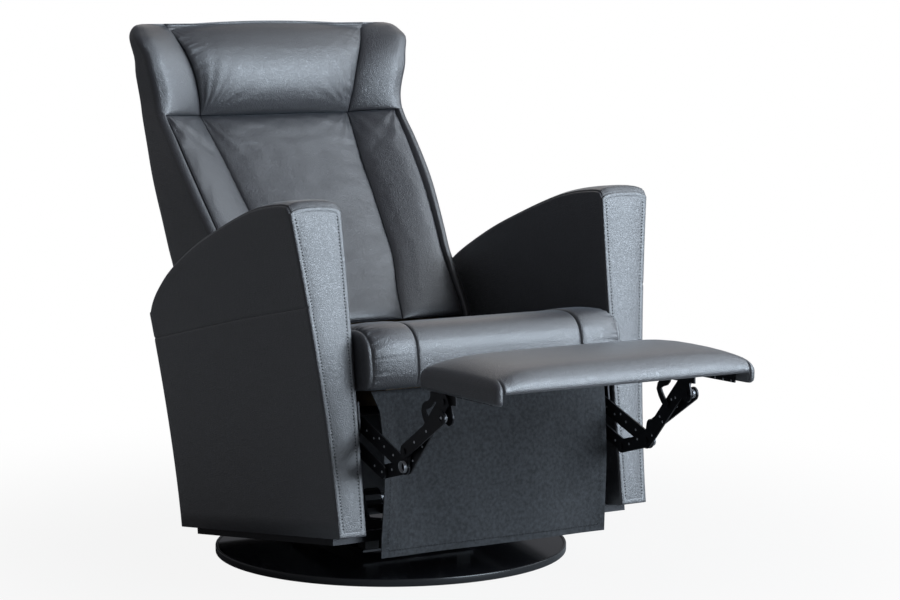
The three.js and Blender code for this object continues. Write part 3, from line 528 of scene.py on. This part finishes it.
def arm_section(y, inset, forward):
    """The arm's section at a place along its top, drawn in by the inset, moved by forward."""
    def inside(z, sink):
        return arm_inner(z) + inset + sink

    def outside(z, sink):
        return arm_outer(z) - inset - sink

    top = smooth_at(arm_top_line, y) - inset
    foot = smooth_at(arm_foot_line, y)
    seam = smooth_at(arm_seam_line, y)
    r = max(arm_corner - inset, 1.5)
    low = arm_bottom + inset
    x0, x1 = arm_inner(top - r) + inset, arm_outer(top - r) - inset
    section = arm_side(inside, low, top - r, 0, 0, 12)[:-1]
    section += seamed_corner(x0 + r, top - r, r, 180, 90)
    width = x1 - x0 - 2 * r
    section += [(x0 + r + width * share, top + arm_crown * crown(2 * share - 1, 3.2, 0.8))
                for share in (0.04, 0.1, 0.2, 0.35, 0.5, 0.65, 0.8, 0.9, 0.96)]
    section += seamed_corner(x1 - r, top - r, r, 90, 0)
    section += arm_side(outside, top - r, seam, 0, arm_side_seam, 10)[1:]
    section += arm_side(outside, seam, low, arm_side_seam, 0, 12)[1:]
    span = max(top - low, 1)
    return [(x, lerp(foot, y, (z - low) / span) + forward, z) for x, z in section]


# The front edge from the stitches outwards: how far in from the sides, how far back from the
# front face, and how much of that is travel along the arm's top line.
arm_front_steps = [(11.5, 0.1, 0), (10.6, 0.2, 0), (9.6, 0.5, 0), (8.6, 0.2, 0), (6.6, -0.1, 0),
                   (4.2, 0, 0), (2.4, 0.35, 0), (1.5, 0.9, 0), (1.0, 1.7, 0), (3.0, 2.6, 0),
                   (1.0, 3.4, 0.2), (0.3, 4.8, 1.2), (0, 7.0, 3.2)]
arm_panel_crown = 1.6


def arm_panel_ring(edge, towards_middle):
    """The front panel between its stitches and a line up its middle."""
    low, high = min(z for _, _, z in edge), max(z for _, _, z in edge)
    ring = []
    for x, y, z in edge:
        middle_z = min(max(z, low + 40), high - 50)
        middle_x = (arm_inner(middle_z) + arm_outer(middle_z)) / 2
        px, pz = lerp(x, middle_x, towards_middle), lerp(z, middle_z, towards_middle)
        half = (arm_outer(pz) - arm_inner(pz)) / 2 - 11
        clear = (half - abs(px - (arm_outer(pz) + arm_inner(pz)) / 2), pz - low, high - pz)
        swell = math.prod(1 - (1 - min(max(c, 0) / 24, 1)) ** 2 for c in clear)
        ring.append((px, y - arm_panel_crown * swell, pz))
    return ring


def make_arms():
    rings = [arm_section(arm_front + along, inset, forward - along)
             for inset, forward, along in arm_front_steps]
    rings = [arm_panel_ring(rings[0], share) for share in (0.97, 0.75, 0.55, 0.38, 0.24, 0.12)] + rings
    # The rings are close together over the curves of its top, and wide apart between them.
    place = arm_front + 10
    while place < arm_rear - arm_rear_round - 3:
        rings.append(arm_section(place, 0, 0))
        place += 5 if place < -330 else (8 if place > 130 else 15)
    for degrees in (0, 20, 40, 60, 75, 90):
        turned = math.radians(degrees)
        rings.append(arm_section(arm_rear - arm_rear_round, arm_rear_round * (1 - math.cos(turned)),
                                 arm_rear_round * math.sin(turned)))
    skin("arm_cover_left", rings, "chassis", "arm_left")
    skin("arm_cover_right", mirror_x(rings), "chassis", "arm_right")


stitch_pitch = 5.6
stitch_length = 2.9


def stitches(name, line, facing, body, width=5.4, thick=3.2):
    """Short threads along a line in the level chair, each a small spindle. They are real thread, and
    their near-black colour is also painted shade for the needle holes between the stitches.
    """
    mesh = bmesh.new()
    walked, target = 0.0, stitch_pitch / 2
    for p, q in zip(line, line[1:]):
        p, q = Vector(p), Vector(q)
        step = (q - p).length
        while walked + step >= target:
            middle = p.lerp(q, (target - walked) / step)
            along = (q - p).normalized()
            out = Vector(facing).normalized()
            side = along.cross(out).normalized()
            half = along * stitch_length / 2
            tips = [middle - half, middle + half]
            waist = [middle + side * width / 2, middle + out * thick / 2,
                     middle - side * width / 2, middle - out * thick / 2]
            made = [mesh.verts.new(chair_point(*v)) for v in tips + waist]
            for k in range(4):
                a, b = made[2 + k], made[2 + (k + 1) % 4]
                mesh.faces.new((made[0], a, b))
                mesh.faces.new((made[1], b, a))
            target += stitch_pitch
        walked += step
    bmesh.ops.recalc_face_normals(mesh, faces=mesh.faces)
    data = bpy.data.meshes.new(name)
    mesh.to_mesh(data)
    mesh.free()
    row = bpy.data.objects.new(name, data)
    scene.collection.objects.link(row)
    data.materials.append(thread_and_hole_shade)
    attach(row, body)


def make_arm_stitches():
    low, high = arm_bottom + arm_stitch_margin, arm_top_line[0][1] - arm_stitch_margin
    heights = [lerp(low, high, i / 30) for i in range(31)]
    y = arm_front + 0.5
    for side, sign in sides:
        outer = [(sign * (arm_outer(z) - arm_stitch_inset), y, z) for z in heights]
        inner = [(sign * (arm_inner(z) + arm_stitch_inset), y, z) for z in heights]
        stitches(f"arm_outer_stitches_{side}", outer, (0, -1, 0), "chassis")
        stitches(f"arm_inner_stitches_{side}", inner, (0, -1, 0), "chassis")


make_arms()
make_arm_stitches()


# Seat cushion: foam with a soft front roll. A centre panel and two side panels of the top are
# sewn with plain seams that run front to back, and each end has a panel of its own.
seat_half = 262
seat_nose = -432
seat_rear = 44
seat_low = 314
seat_high = 428
seat_seam = 168
seat_seam_depth = 5
seat_end_depth = 3
seat_end_panel = 9
seat_gather = 4
seat_puff = 3
# How far the front corners are tucked back and down.
seat_tuck_back = 12
seat_tuck_down = 10
# The side view from the rear over the top and round the roll, and then the underside: the share
# of the depth from the front, and the share of the height.
seat_profile = [
    (1.0, 0.70), (0.975, 0.78), (0.9, 0.80), (0.78, 0.83), (0.64, 0.875), (0.5, 0.92), (0.38, 0.96),
    (0.27, 0.99), (0.19, 1.0), (0.13, 0.992), (0.085, 0.965), (0.05, 0.91), (0.025, 0.83),
    (0.008, 0.72), (0.001, 0.6), (0.0, 0.46), (0.001, 0.33), (0.004, 0.21), (0.013, 0.11),
    (0.03, 0.03), (0.06, 0.0),
]
seat_under = [(0.2, 0.0), (0.4, 0.0), (0.6, 0.0), (0.8, 0.0), (0.97, 0.0), (0.995, 0.04), (1.0, 0.3)]


def seat_fine_profile():
    """The side view of the cushion, smoothed and made finer, with the underside."""
    fine = []
    for i in range(len(seat_profile) - 1):
        a = seat_profile[max(i - 1, 0)]
        b, c = seat_profile[i], seat_profile[i + 1]
        d = seat_profile[min(i + 2, len(seat_profile) - 1)]
        for t in [step / 7 for step in range(7)]:
            fine.append(tuple(
                0.5 * (2 * b[k] + (c[k] - a[k]) * t + (2 * a[k] - 5 * b[k] + 4 * c[k] - d[k]) * t * t
                       + (3 * b[k] - a[k] - 3 * c[k] + d[k]) * t ** 3) for k in (0, 1)))
    return fine + [seat_profile[-1]] + seat_under


def make_seat_cushion():
    profile = seat_fine_profile()
    depth, height = seat_rear - seat_nose, seat_high - seat_low
    end_seam = seat_half - seat_end_panel
    places = [0, 30, 60, 90, 115, 135]
    places += [seat_seam - d for d in reversed(seam_offsets)]
    places += [seat_seam + d for d in seam_offsets[1:]]
    places += [190, 210, 225, 236]
    places += [end_seam - d for d in reversed(seam_offsets)]
    ends = [(end_seam + 1.5, 2.2), (end_seam + 4, 1.0), (end_seam + 6.5, 2.0), (end_seam + 8, 5.0),
            (end_seam + 9, 12.0), (end_seam + 9.3, 30.0)]

    def ring(x, dip, inset):
        tuck = min(abs(x) / seat_half, 1) ** 12
        from_end = end_seam - abs(x)
        # The end seams gather the hide beside them, and each side panel is a little fuller.
        gather = 0
        if from_end > 0:
            gather = seat_gather * math.exp(-from_end / 16) * min(1, from_end / 3)
        puff = seat_puff * crown((abs(x) - seat_seam) / (end_seam - seat_seam) * 2 - 1, 2, 0.7)
        points = []
        for run, rise in profile:
            y = seat_nose + depth * run + (1 - run) ** 6 * seat_tuck_back * tuck
            z = seat_low + height * rise - seat_tuck_down * rise * tuck
            to_middle = Vector((seat_nose + depth * 0.5 - y, seat_low + height * 0.45 - z))
            pull = Vector((0, 0))
            if rise > 0.03:
                steep = max(0.0, 1 - run / 0.12)
                sink = dip + gather * ripple(y, z, 6, 3.3) - puff * min(1, rise * 3)
                pull = Vector((steep, -(1 - steep * 0.6))).normalized() * sink
            if inset:
                pull += to_middle.normalized() * min(inset, to_middle.length * 0.9)
            points.append((x, y + pull.x, z + pull.y))
        return points

    def dip_at(x):
        to_seam, to_end = abs(x - seat_seam), abs(x - end_seam)
        sink = seat_seam_depth if to_seam <= to_end else seat_end_depth
        return sink * smooth_at(seam_line, min(to_seam, to_end))

    half = [(x, dip_at(x), 0) for x in places] + [(x, 0, inset) for x, inset in ends]
    rings = [ring(-x, dip, inset) for x, dip, inset in reversed(half)]
    rings += [ring(x, dip, inset) for x, dip, inset in half[1:]]
    skin("seat_cover", rings, "seat", "seat_cushion", fill=0.85)


make_seat_cushion()


# Apron: a cut of dark pressed felt, stapled under the front of the seat frame and left to hang
# in front of the steelwork. Its hem is stitched at the foot and up both sides.
apron_half = 233
apron_length = 294
apron_thickness = 2.2
apron_hem = 12
apron_thread_proud = 2.6
# Down its middle: the share of the way, how far back, and how high.
apron_line = [(0, -396, 312), (0.076, -396, 290), (0.292, -392, 228), (0.562, -383, 150),
              (0.771, -373, 90), (1, -362, 24)]
apron_curl = 10
apron_flare = 12
felt_dark = (0.008, 0.009, 0.0105, 1)
felt_pale = (0.026, 0.028, 0.032, 1)


def felt_material():
    material = bpy.data.materials.new("apron_felt")
    add = node_adder(material)
    place = object_coordinates(add)
    clump = add("ShaderNodeTexNoise", place, Scale=160.0, Detail=4.0)
    coarse = add("ShaderNodeBump", Strength=0.5, Distance=0.0012, Height=clump)
    fibre = add("ShaderNodeTexNoise", place, Scale=900.0, Detail=3.0)
    fine = add("ShaderNodeBump", Strength=0.6, Distance=0.0006, Height=fibre, Normal=coarse)
    colours = two_tone(add, clump, felt_dark, 0.35, felt_pale, 0.68)
    surface = add("ShaderNodeBsdfPrincipled", Base_Color=colours, Roughness=0.95, Sheen_Weight=0.12,
                  Sheen_Roughness=0.6, Normal=fine)
    add("ShaderNodeOutputMaterial", surface)
    return material


felt = felt_material()


def apron_point(across, down):
    """A place on the hanging felt: across from -1 to 1, and down from 0 to 1."""
    y = smooth_at([(d, y) for d, y, _ in apron_line], down)
    z = smooth_at([(d, z) for d, _, z in apron_line], down)
    loose = math.sin(math.pi * min(down * 1.15, 1))
    wave = 3 + 3 * math.sin(across * 5.1 + 0.6) * (0.25 + 0.75 * down)
    wave += 1.5 * math.sin(across * 9 - down * 3)
    curl = apron_curl * max(0.0, -across - 0.86) / 0.14 * loose
    flare = apron_flare * max(0.0, -across - 0.5) * 2 * max(0.0, 1 - down / 0.12)
    return (across * apron_half - flare, y - wave * min(1, down * 2) - curl, z)


def make_hem_stitches():
    side, foot = 1 - apron_hem / apron_half, 1 - apron_hem / apron_length
    heights = [foot * (0.2 + 0.8 * i / 50) for i in range(51)]
    for name, line in (("foot", [(side * (2 * i / 80 - 1), foot) for i in range(81)]),
                       ("right", [(-side, down) for down in heights]),
                       ("left", [(side, down) for down in heights])):
        points = [apron_point(*place) for place in line]
        proud = [(x, y - apron_thread_proud, z) for x, y, z in points]
        stitches(f"apron_hem_{name}", proud, (0, -1, 0.1), "seat", width=2.2, thick=2.0)


def make_apron():
    columns, rows = 94, 58
    mesh = bpy.data.meshes.new("apron_felt_sheet")
    points = [chair_point(*apron_point(-1 + 2 * i / columns, j / rows))
              for j in range(rows + 1) for i in range(columns + 1)]
    wide = columns + 1
    faces = [(j * wide + i, j * wide + i + 1, (j + 1) * wide + i + 1, (j + 1) * wide + i)
             for j in range(rows) for i in range(columns)]
    mesh.from_pydata(points, [], faces)
    sheet = bpy.data.objects.new("apron_felt_sheet", mesh)
    scene.collection.objects.link(sheet)
    select_none()
    sheet.select_set(True)
    bpy.context.view_layer.objects.active = sheet
    thickness = sheet.modifiers.new("thickness", "SOLIDIFY")
    thickness.thickness = apron_thickness / 1000
    thickness.offset = 1
    bpy.ops.object.modifier_apply(modifier="thickness")
    bpy.ops.object.shade_smooth_by_angle(angle=math.radians(50))
    mesh.materials.append(felt)
    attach(sheet, "seat")
    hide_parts("apron")


make_apron()
make_hem_stitches()


# Footrest: foam on a board, covered in one piece of leather that is folded at the front corners.
# Two brackets carry it, tipped forward a few degrees. Each end has a cheek that hangs lower.
foot_rear = Vector((-579, 357))
foot_drop = math.radians(7.24)
foot_half = 255
foot_depth = 246
foot_crown = 22
foot_low = -24.5
foot_cheek_low = -42
foot_cheek = 13
foot_corner_seam = 4.0
foot_pucker = 0.7
foot_pucker_at = 236
# Both ends of the pad roll down over this width and by this much.
foot_roll = 72
foot_fall = 10
foot_forward = Vector((-math.cos(foot_drop), -math.sin(foot_drop)))
foot_up = Vector((-math.sin(foot_drop), math.cos(foot_drop)))
# Over the pad from its rear edge to its front edge: the place, the height of the flat pad there,
# and the share of the crown.
foot_top = [(0, -17, 0), (0.6, -13, 0.03), (2.5, -8.5, 0.1), (6, -4.5, 0.19), (12, -1.6, 0.31),
            (20, -0.3, 0.45), (35, 0, 0.67), (60, 0, 0.88), (95, 0, 0.99), (130, 0, 1), (165, 0, 0.96),
            (195, 0, 0.85), (212, 0, 0.72), (222, -0.3, 0.61), (230, -1.4, 0.48), (236, -3.4, 0.35),
            (240.5, -6.2, 0.23), (243.5, -9.4, 0.13), (245.4, -12.6, 0.05), (246.2, -16, 0.01)]


def foot_section(low, squeeze, crowned, pucker, corner):
    """The pad's side view, with its front face drawn back by the corner's seam."""
    points = [(u + pucker * share_near(u, foot_pucker_at, 22), v + foot_crown * share * crowned)
              for u, v, share in foot_top]
    turn = points[-1][1]
    points += [(246.4 + pucker * 0.6, lerp(turn, low, 0.3)), (246, lerp(turn, low, 0.66)),
               (244.6, lerp(turn, low, 0.88)), (241, low + 0.2), (234, low)]
    points += [(u, low) for u in (200, 130, 60, 8)] + [(2, low + 1.5), (0.2, lerp(low, -17, 0.5))]
    middle_v = (low + foot_crown * crowned) / 2
    across, up = 1 - squeeze * 2 / foot_depth, 1 - squeeze * 2 / (foot_crown * crowned - low)
    return [(foot_depth / 2 + (u - foot_depth / 2) * across - corner * min(max(u - 228, 0) / 12, 1),
             middle_v + (v - middle_v) * up) for u, v in points]


def make_footrest():
    edge = foot_half - foot_cheek
    half = [(edge * i / 84, foot_low, 0, 0) for i in range(84)]
    half += [(edge - d, foot_low, 0, foot_corner_seam * share)
             for d, share in ((2.0, 0.25), (1.0, 0.6), (0.3, 1))]
    half += [(edge + run, foot_cheek_low, squeeze, corner) for run, squeeze, corner in (
        (0.4, 0, foot_corner_seam), (1.2, 0, 2.0), (2.4, 0, 0.6), (4, 0.1, 0), (6.5, 0.5, 0),
        (8.5, 1.4, 0), (10.3, 2.9, 0), (11.8, 5.0, 0), (12.7, 7.5, 0), (13, 10, 0), (13.1, 15, 0))]

    def ring(x, low, squeeze, corner):
        crowned = crown(min(abs(x) / (foot_half + 1), 1), 5.5, 0.9)
        near_corner = 0.25 + 0.75 * math.exp(-(edge - min(abs(x), edge)) / 60)
        pucker = foot_pucker * near_corner * ripple(x, 0, 5.5, 2.5) if abs(x) < edge else 0
        rolled = min(max((abs(x) - foot_half + foot_roll) / foot_roll, 0), 1)
        fall = foot_fall * (1 - math.sqrt(1 - rolled * rolled))
        points = []
        for u, v in foot_section(low, squeeze, crowned, pucker, corner):
            v -= fall * min(max(1 - v / low, 0), 1)
            points.append((x, *(foot_rear + foot_forward * u + foot_up * v)))
        return points

    rings = [ring(-place[0], *place[1:]) for place in reversed(half)]
    rings += [ring(*place) for place in half[1:]]
    skin("footrest_cover", rings, "footrest", "footrest_pad", fill=0.9)


make_footrest()


# Linkage details: plated rivets through the links, and a wound spring beside two of the pivots.
# Each link's rivets are one piece that moves with it.
link_rivets = [
    ("seat_link", 248.5, [(-379, 246), (-402, 233), (-421, 233), (-436, 219), (-465, 205),
                          (-502, 186)]),
    ("rear_link", 248.5, [(-300, 238), (-352, 210), (-398, 186), (-422, 176)]),
    ("long_link", 243.5, [(-448, 180), (-475, 189), (-521, 196), (-549, 229), (-556, 220), (-588, 259),
                          (-600, 262), (-635, 293)]),
    ("front_link", 253.5, [(-512, 212), (-548, 228), (-590, 246), (-640, 268)]),
]
bracket_rivets = [(-690, 300), (-727, 296), (-749, 293), (-771, 290)]
rivet_radius = 2.9
rivet_half = 2.6
spring_wire = 0.9
spring_pitch = 2.2
spring_turns = 3


def plated(name, places, add_shape, body):
    """The same shape at each place, all of them one piece of plated steel."""
    select_none()
    for k, place in enumerate(places):
        add_shape(chair_point(*place))
        if k == 0:
            piece = bpy.context.object
            piece.name = name
            bpy.ops.object.transform_apply(location=True, rotation=True, scale=True)
            bpy.ops.object.mode_set(mode="EDIT")
    bpy.ops.object.mode_set(mode="OBJECT")
    bpy.ops.object.shade_smooth()
    piece.data.materials.append(bright_steel)
    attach(piece, body)


def make_rivets(name, x, places, body):
    """Domes that stand a little proud on both faces of a plate."""
    def dome(place):
        bpy.ops.mesh.primitive_uv_sphere_add(
            segments=14, ring_count=8, radius=rivet_radius / 1000, location=place,
            scale=(rivet_half / rivet_radius, 1, 1))

    plated(name, [(x, y, z) for y, z in places], dome, body)


def make_spring(name, x, y, z, radius, body):
    """Turns of wire side by side round a pivot, each further out."""
    def wire_turn(place):
        bpy.ops.mesh.primitive_torus_add(
            major_segments=28, minor_segments=8, major_radius=radius / 1000,
            minor_radius=spring_wire / 1000, location=place, rotation=(0, math.radians(86), 0))

    out = spring_pitch if x > 0 else -spring_pitch
    plated(name, [(x + out * k, y, z) for k in range(spring_turns)], wire_turn, body)


for side, sign in sides:
    for link, x, places in link_rivets:
        make_rivets(f"{link}_rivets_{side}", sign * x, places, f"{link}_{side}")
    make_rivets(f"bracket_rivets_{side}", sign * 238.5, bracket_rivets, "footrest")
    make_spring(f"knee_spring_{side}", sign * 251.6, -502, 186, 9.5, f"seat_link_{side}")
    make_spring(f"bracket_spring_{side}", sign * 247.5, -640, 268, 7.5, f"front_link_{side}")


# Back: a padded shell round a board. Its cover wraps the sides and the wings. The centre
# cushion, the two bolsters and the head pillow are sewn into it.
back_lean = math.tan(math.radians(34.8))
head_seam = 857
back_top = 1040
shell_foot = 345
body_foot = 430
# Lines up the level back: a height, and how far back or how far out the line is there.
rear_line = [(345, 330), (552, 378), (675, 388), (765, 401), (836, 407), (915, 407), (976, 397),
             (1040, 386)]
hidden_line = [(345, 72), (857, 389), (905, 382), (940, 375), (976, 368), (1040, 371)]
inner_seam_line = [(430, 92), (486, 106), (535, 123), (569, 131), (616, 137), (678, 144),
                   (741, 150), (795, 157), (853, 165)]
edge_line = [(345, 250), (554, 250), (598, 256), (640, 262), (702, 270), (762, 274), (857, 275),
             (890, 276), (918, 281), (946, 288), (973, 292), (1004, 302), (1040, 306)]
bolster_inset_line = [(430, 20), (598, 21), (702, 24), (762, 24), (857, 20)]
edge_front_line = [(345, 72), (430, 66), (500, 97), (615, 160), (706, 214), (798, 276), (861, 318),
                   (946, 315), (973, 317), (1004, 328), (1023, 348), (1034, 362), (1040, 376)]
pillow_edge_line = [(857, 166), (880, 169), (905, 174), (929, 179), (954, 186), (976, 194),
                    (1000, 203), (1022, 211), (1040, 222)]
pillow_front_line = [(857, 356), (880, 348), (905, 342), (940, 339), (976, 342), (1000, 350),
                     (1022, 361), (1034, 371), (1040, 379)]
top_round_from = 1002
top_round_side = 34
top_round_rear = 8
cushion_crown = 20
bolster_crown = 14
body_pressure = 0.9
pillow_pressure = 1.2
pillow_top = 1042
pillow_rise = 3
# The rear corners are round, and tighter where the wings grow out.
rear_round = 34
rear_tighter = 18
wing_root = 885
wing_root_reach = 70
wing_crown = 9
wing_corner = 16
side_corner = 14
rear_bow = 6
# Places across a wing or a border, closer together at its seam and at its corner.
face_shares = (0, 0.02, 0.05, 0.1, 0.18, 0.3, 0.44, 0.58, 0.72, 0.84, 0.93, 1)


def seam_plane(z):
    """How far back the seams beside the centre cushion are."""
    return 220 + back_lean * (z - 658)


def top_round(z):
    """How far the top corner has turned: 0 below its start and 1 at the very top."""
    share = min(max((z - top_round_from) / (back_top - top_round_from), 0), 1)
    return 1 - math.sqrt(max(0.0, 1 - share * share))


def wing_face(z, x1, y1):
    """Across a wing from the pillow's seam to its rounded front corner."""
    x0, y0 = smooth_at(pillow_edge_line, z) + 1, smooth_at(pillow_front_line, z) + 4
    rise = wing_crown * smooth_at([(857, 0), (860, 0.45), (866, 0.75), (880, 0.95), (900, 1),
                                   (1000, 0.8), (1040, 0.3)], z)
    return [(lerp(x0, x1, s), lerp(y0, y1, s) - rise * crown(s * 2 - 1, 2.4, 0.6))
            for s in face_shares]


def border_face(z, x1, y1):
    """Across the narrow border between a bolster's seam and the side."""
    x0 = smooth_at(edge_line, z) - smooth_at(bolster_inset_line, z) + 1
    y0 = smooth_at(edge_front_line, z) + 11
    return [(lerp(x0, x1, s), y0 - (y0 - y1) * math.sin(math.pi / 2 * s)) for s in face_shares]


def cover_ring(z, head):
    """The outer cover at one height: behind the cushions, face, front corner, side and rear, and
    then the other half."""
    edge = smooth_at(edge_line, z) - top_round_side * top_round(z)
    rear = smooth_at(rear_line, z) - top_round_rear * top_round(z)
    front = smooth_at(edge_front_line, z)
    hidden = min(max(smooth_at(hidden_line, z), front + 12), rear - 6)
    corner = min(wing_corner if head else side_corner, (rear - front) * 0.4)
    tighter = rear_tighter * share_near(z, wing_root, wing_root_reach)
    rear_corner = min(rear_round - tighter, (rear - front) * 0.5)
    x1, y1 = edge - corner, front
    face = wing_face(z, x1, y1) if head else border_face(z, x1, y1)
    seam = face[0][0]
    half = [(0, hidden), (seam - 12, hidden), (seam - 1, hidden)]
    half += [(x, min(y, rear - 4)) for x, y in face]
    half += arc(x1, y1 + corner, corner, -90, 0, 6)
    half += [(edge, lerp(y1 + corner, rear - rear_corner, s)) for s in (0, 0.15, 0.4, 0.7, 1)]
    half += arc(edge - rear_corner, rear - rear_corner, rear_corner, 0, 90, 7)
    half += [((edge - rear_corner) * s, rear + rear_bow * (1 - s * s))
             for s in (1, 0.75, 0.5, 0.25, 0)]
    other = [(-x, y) for x, y in reversed(half[1:-1])]
    return [(x, y, z) for x, y in half + other]


def make_back_cover():
    heights = [shell_foot, shell_foot + 2] + [lerp(350, 850, i / 36) for i in range(37)]
    heights += [855, 856.5, 857.5, 858.5, 860, 863, 868, 875]
    heights += [lerp(882, 1006, i / 13) for i in range(14)]
    heights += [1012, 1018, 1024, 1029, 1033, 1036, 1038.5, back_top]
    rings = [cover_ring(z, z > head_seam) for z in heights]
    skin("back_cover", rings, "back", "back_shell", "wing_left", "wing_right", fill=0.9)


def across(count):
    """Places from -1 to 1, closer together towards both seams."""
    return [math.sin(math.pi / 2 * math.sin(math.pi / 2 * (-1 + 2 * i / count)))
            for i in range(count + 1)]


def swell_at(z, low, high, reach):
    """The swell of padding up a piece: 0 at its foot and top, and 1 beyond the reach of both."""
    edge = min(z - low, high - z) / reach
    return crown(1 - min(max(edge, 0), 1), 2.2, 0.5)


def body_heights(low, high):
    """Heights of the rings of the centre cushion and the bolsters, closer at foot and top."""
    ends = [0, 0.6, 1.5, 3, 6, 10, 15, 21]
    middle = [lerp(low + 28, high - 28, i / 56) for i in range(57)]
    return [low + d for d in ends] + middle + [high - d for d in reversed(ends)]


def make_back_cushion():
    low, high = body_foot, head_seam - 1
    rings = []
    places = across(72)
    for z in body_heights(low, high):
        half = smooth_at(inner_seam_line, z) - 0.8
        swell = swell_at(z, low, high, 26)
        under_pillow = math.exp(-(high - z) / 55)
        face = []
        for s in places:
            x = s * half
            wave = 1.5 * ripple(x + z * 0.7, z - x * 0.4, 95, 3.1)
            wave += 1.6 * ripple(x * 0.7, z * 1.6 + x * 0.4, 24, 5.2)
            wave += 3.2 * under_pillow * ripple(x * 0.5 + z, z, 17, 9.7)
            for side in (-1, 1):
                wave += fan(x, z, (side * half, high + 6), 15, 3.2, 50)
                wave += fan(x, z, (side * half, low), 9, 0.9, 50)
            y = seam_plane(z) + 7 - (cushion_crown * crown(s, 2.6, 0.5) + wave) * swell
            face.append((x, y, z))
        rear = smooth_at(hidden_line, z) - 1
        rings.append(face + [(half, rear, z), (0, rear, z), (-half, rear, z)])
    cover = skin("centre_cushion_cover", rings, "back", "back_cushion", fill=0.7)
    settle(cover, rings, places, 5, body_pressure)


def make_bolsters():
    low, high = body_foot, head_seam - 1
    rings = []
    places = across(40)
    for z in body_heights(low, high):
        x0 = smooth_at(inner_seam_line, z) + 0.4
        x1 = smooth_at(edge_line, z) - smooth_at(bolster_inset_line, z)
        y0 = seam_plane(z) + 6
        y1 = smooth_at(edge_front_line, z) + 9
        swell = swell_at(z, low, high, 24)
        near_top = math.exp(-(high - z) / 60)
        face = []
        for s in places:
            share = (s + 1) / 2
            x = lerp(x0, x1, share)
            wave = 0.5 * ripple(share * 60 + z * 0.3, z, 90, 8.4)
            wave += 2.6 * near_top * ripple(x * 0.9 + z * 0.75, z * 0.2, 16, 4.4)
            wave += fan(x, z, (x1, high + 4), 12, 3.6, 48) + fan(x, z, (x0, high + 4), 11, 2.8, 40)
            y = lerp(y0, y1, share) - (bolster_crown * crown(s, 2.4, 0.5) + wave) * swell
            face.append((x, y, z))
        rear = smooth_at(hidden_line, z) - 1
        rings.append(face + [(x1, rear, z), ((x0 + x1) / 2, rear, z), (x0, rear, z)])
    for side, shape in (("left", rings), ("right", mirror_x(rings))):
        cover = skin(f"bolster_cover_{side}", shape, "back", f"bolster_{side}", fill=0.75)
        settle(cover, rings, places, 5, body_pressure)


def make_head_pillow():
    bulge = [(head_seam, 0), (857.6, 5), (859, 9), (862, 13.5), (867, 18), (874, 22), (884, 25.5),
             (898, 28), (920, 29), (950, 28), (976, 25), (1000, 20), (1020, 14), (1034, 8),
             (pillow_top, 2)]
    heights = [head_seam, 857.6, 859, 861, 864, 868, 873, 879]
    heights += [lerp(882, 1012, i / 52) for i in range(53)]
    heights += [1016, 1020, 1024, 1028, 1031, 1034, 1036.5, 1038.5, 1040, 1041, pillow_top]
    rings = []
    places = across(150)
    for z in heights:
        half = smooth_at(pillow_edge_line, z) - 0.8
        front = smooth_at(pillow_front_line, z) + 4
        rear = min(smooth_at(hidden_line, z), front + 40)
        if z > 1030:
            rear = smooth_at(hidden_line, 1030) + 22 - (z - 1030) * 1.2
            front = min(front, rear - 1.5)
        dip = 9 * min(max((z - 985) / 55, 0), 1)
        face = []
        for s in places:
            x = s * half
            near = half * (1 - abs(s))
            wave = 3.2 * ripple(z * 1.3 - near * 0.5, z * 0.2, 11, 2.0 + (s > 0))
            wave *= math.exp(-near / 20)
            wave += 0.5 * ripple(x * 0.8, z * 0.8, 80, 7.7)
            for side in (-1, 1):
                wave += fan(x, z, (side * half, 852), 25, 2.0, 56)
                wave += fan(x, z, (side * half, 1046), 17, 1.1, 40)
            wave *= min(1, near / 7) * min(1, (z - head_seam) / 8, (pillow_top - z) / 12)
            y = front - smooth_at(bulge, z) * crown(s, 3.2, 0.5) - wave
            face.append((x, y, z + pillow_rise - dip * s * s))
        back = [(half * s, rear, z + pillow_rise - dip * s * s) for s in (1, 0.5, 0, -0.5, -1)]
        rings.append(face + back)
    # The pillow's foot stays at its seam: the rise fades out over its lower part.
    rings = [[(x, y, max(head_seam, z - pillow_rise * max(0, 1 - (z - 860) / 120)))
              for x, y, z in ring] for ring in rings]
    cover = skin("head_pillow_cover", rings, "back", "head_pillow", fill=0.8)
    settle(cover, rings, places, 9, pillow_pressure)


make_back_cover()
make_back_cushion()
make_bolsters()
make_head_pillow()
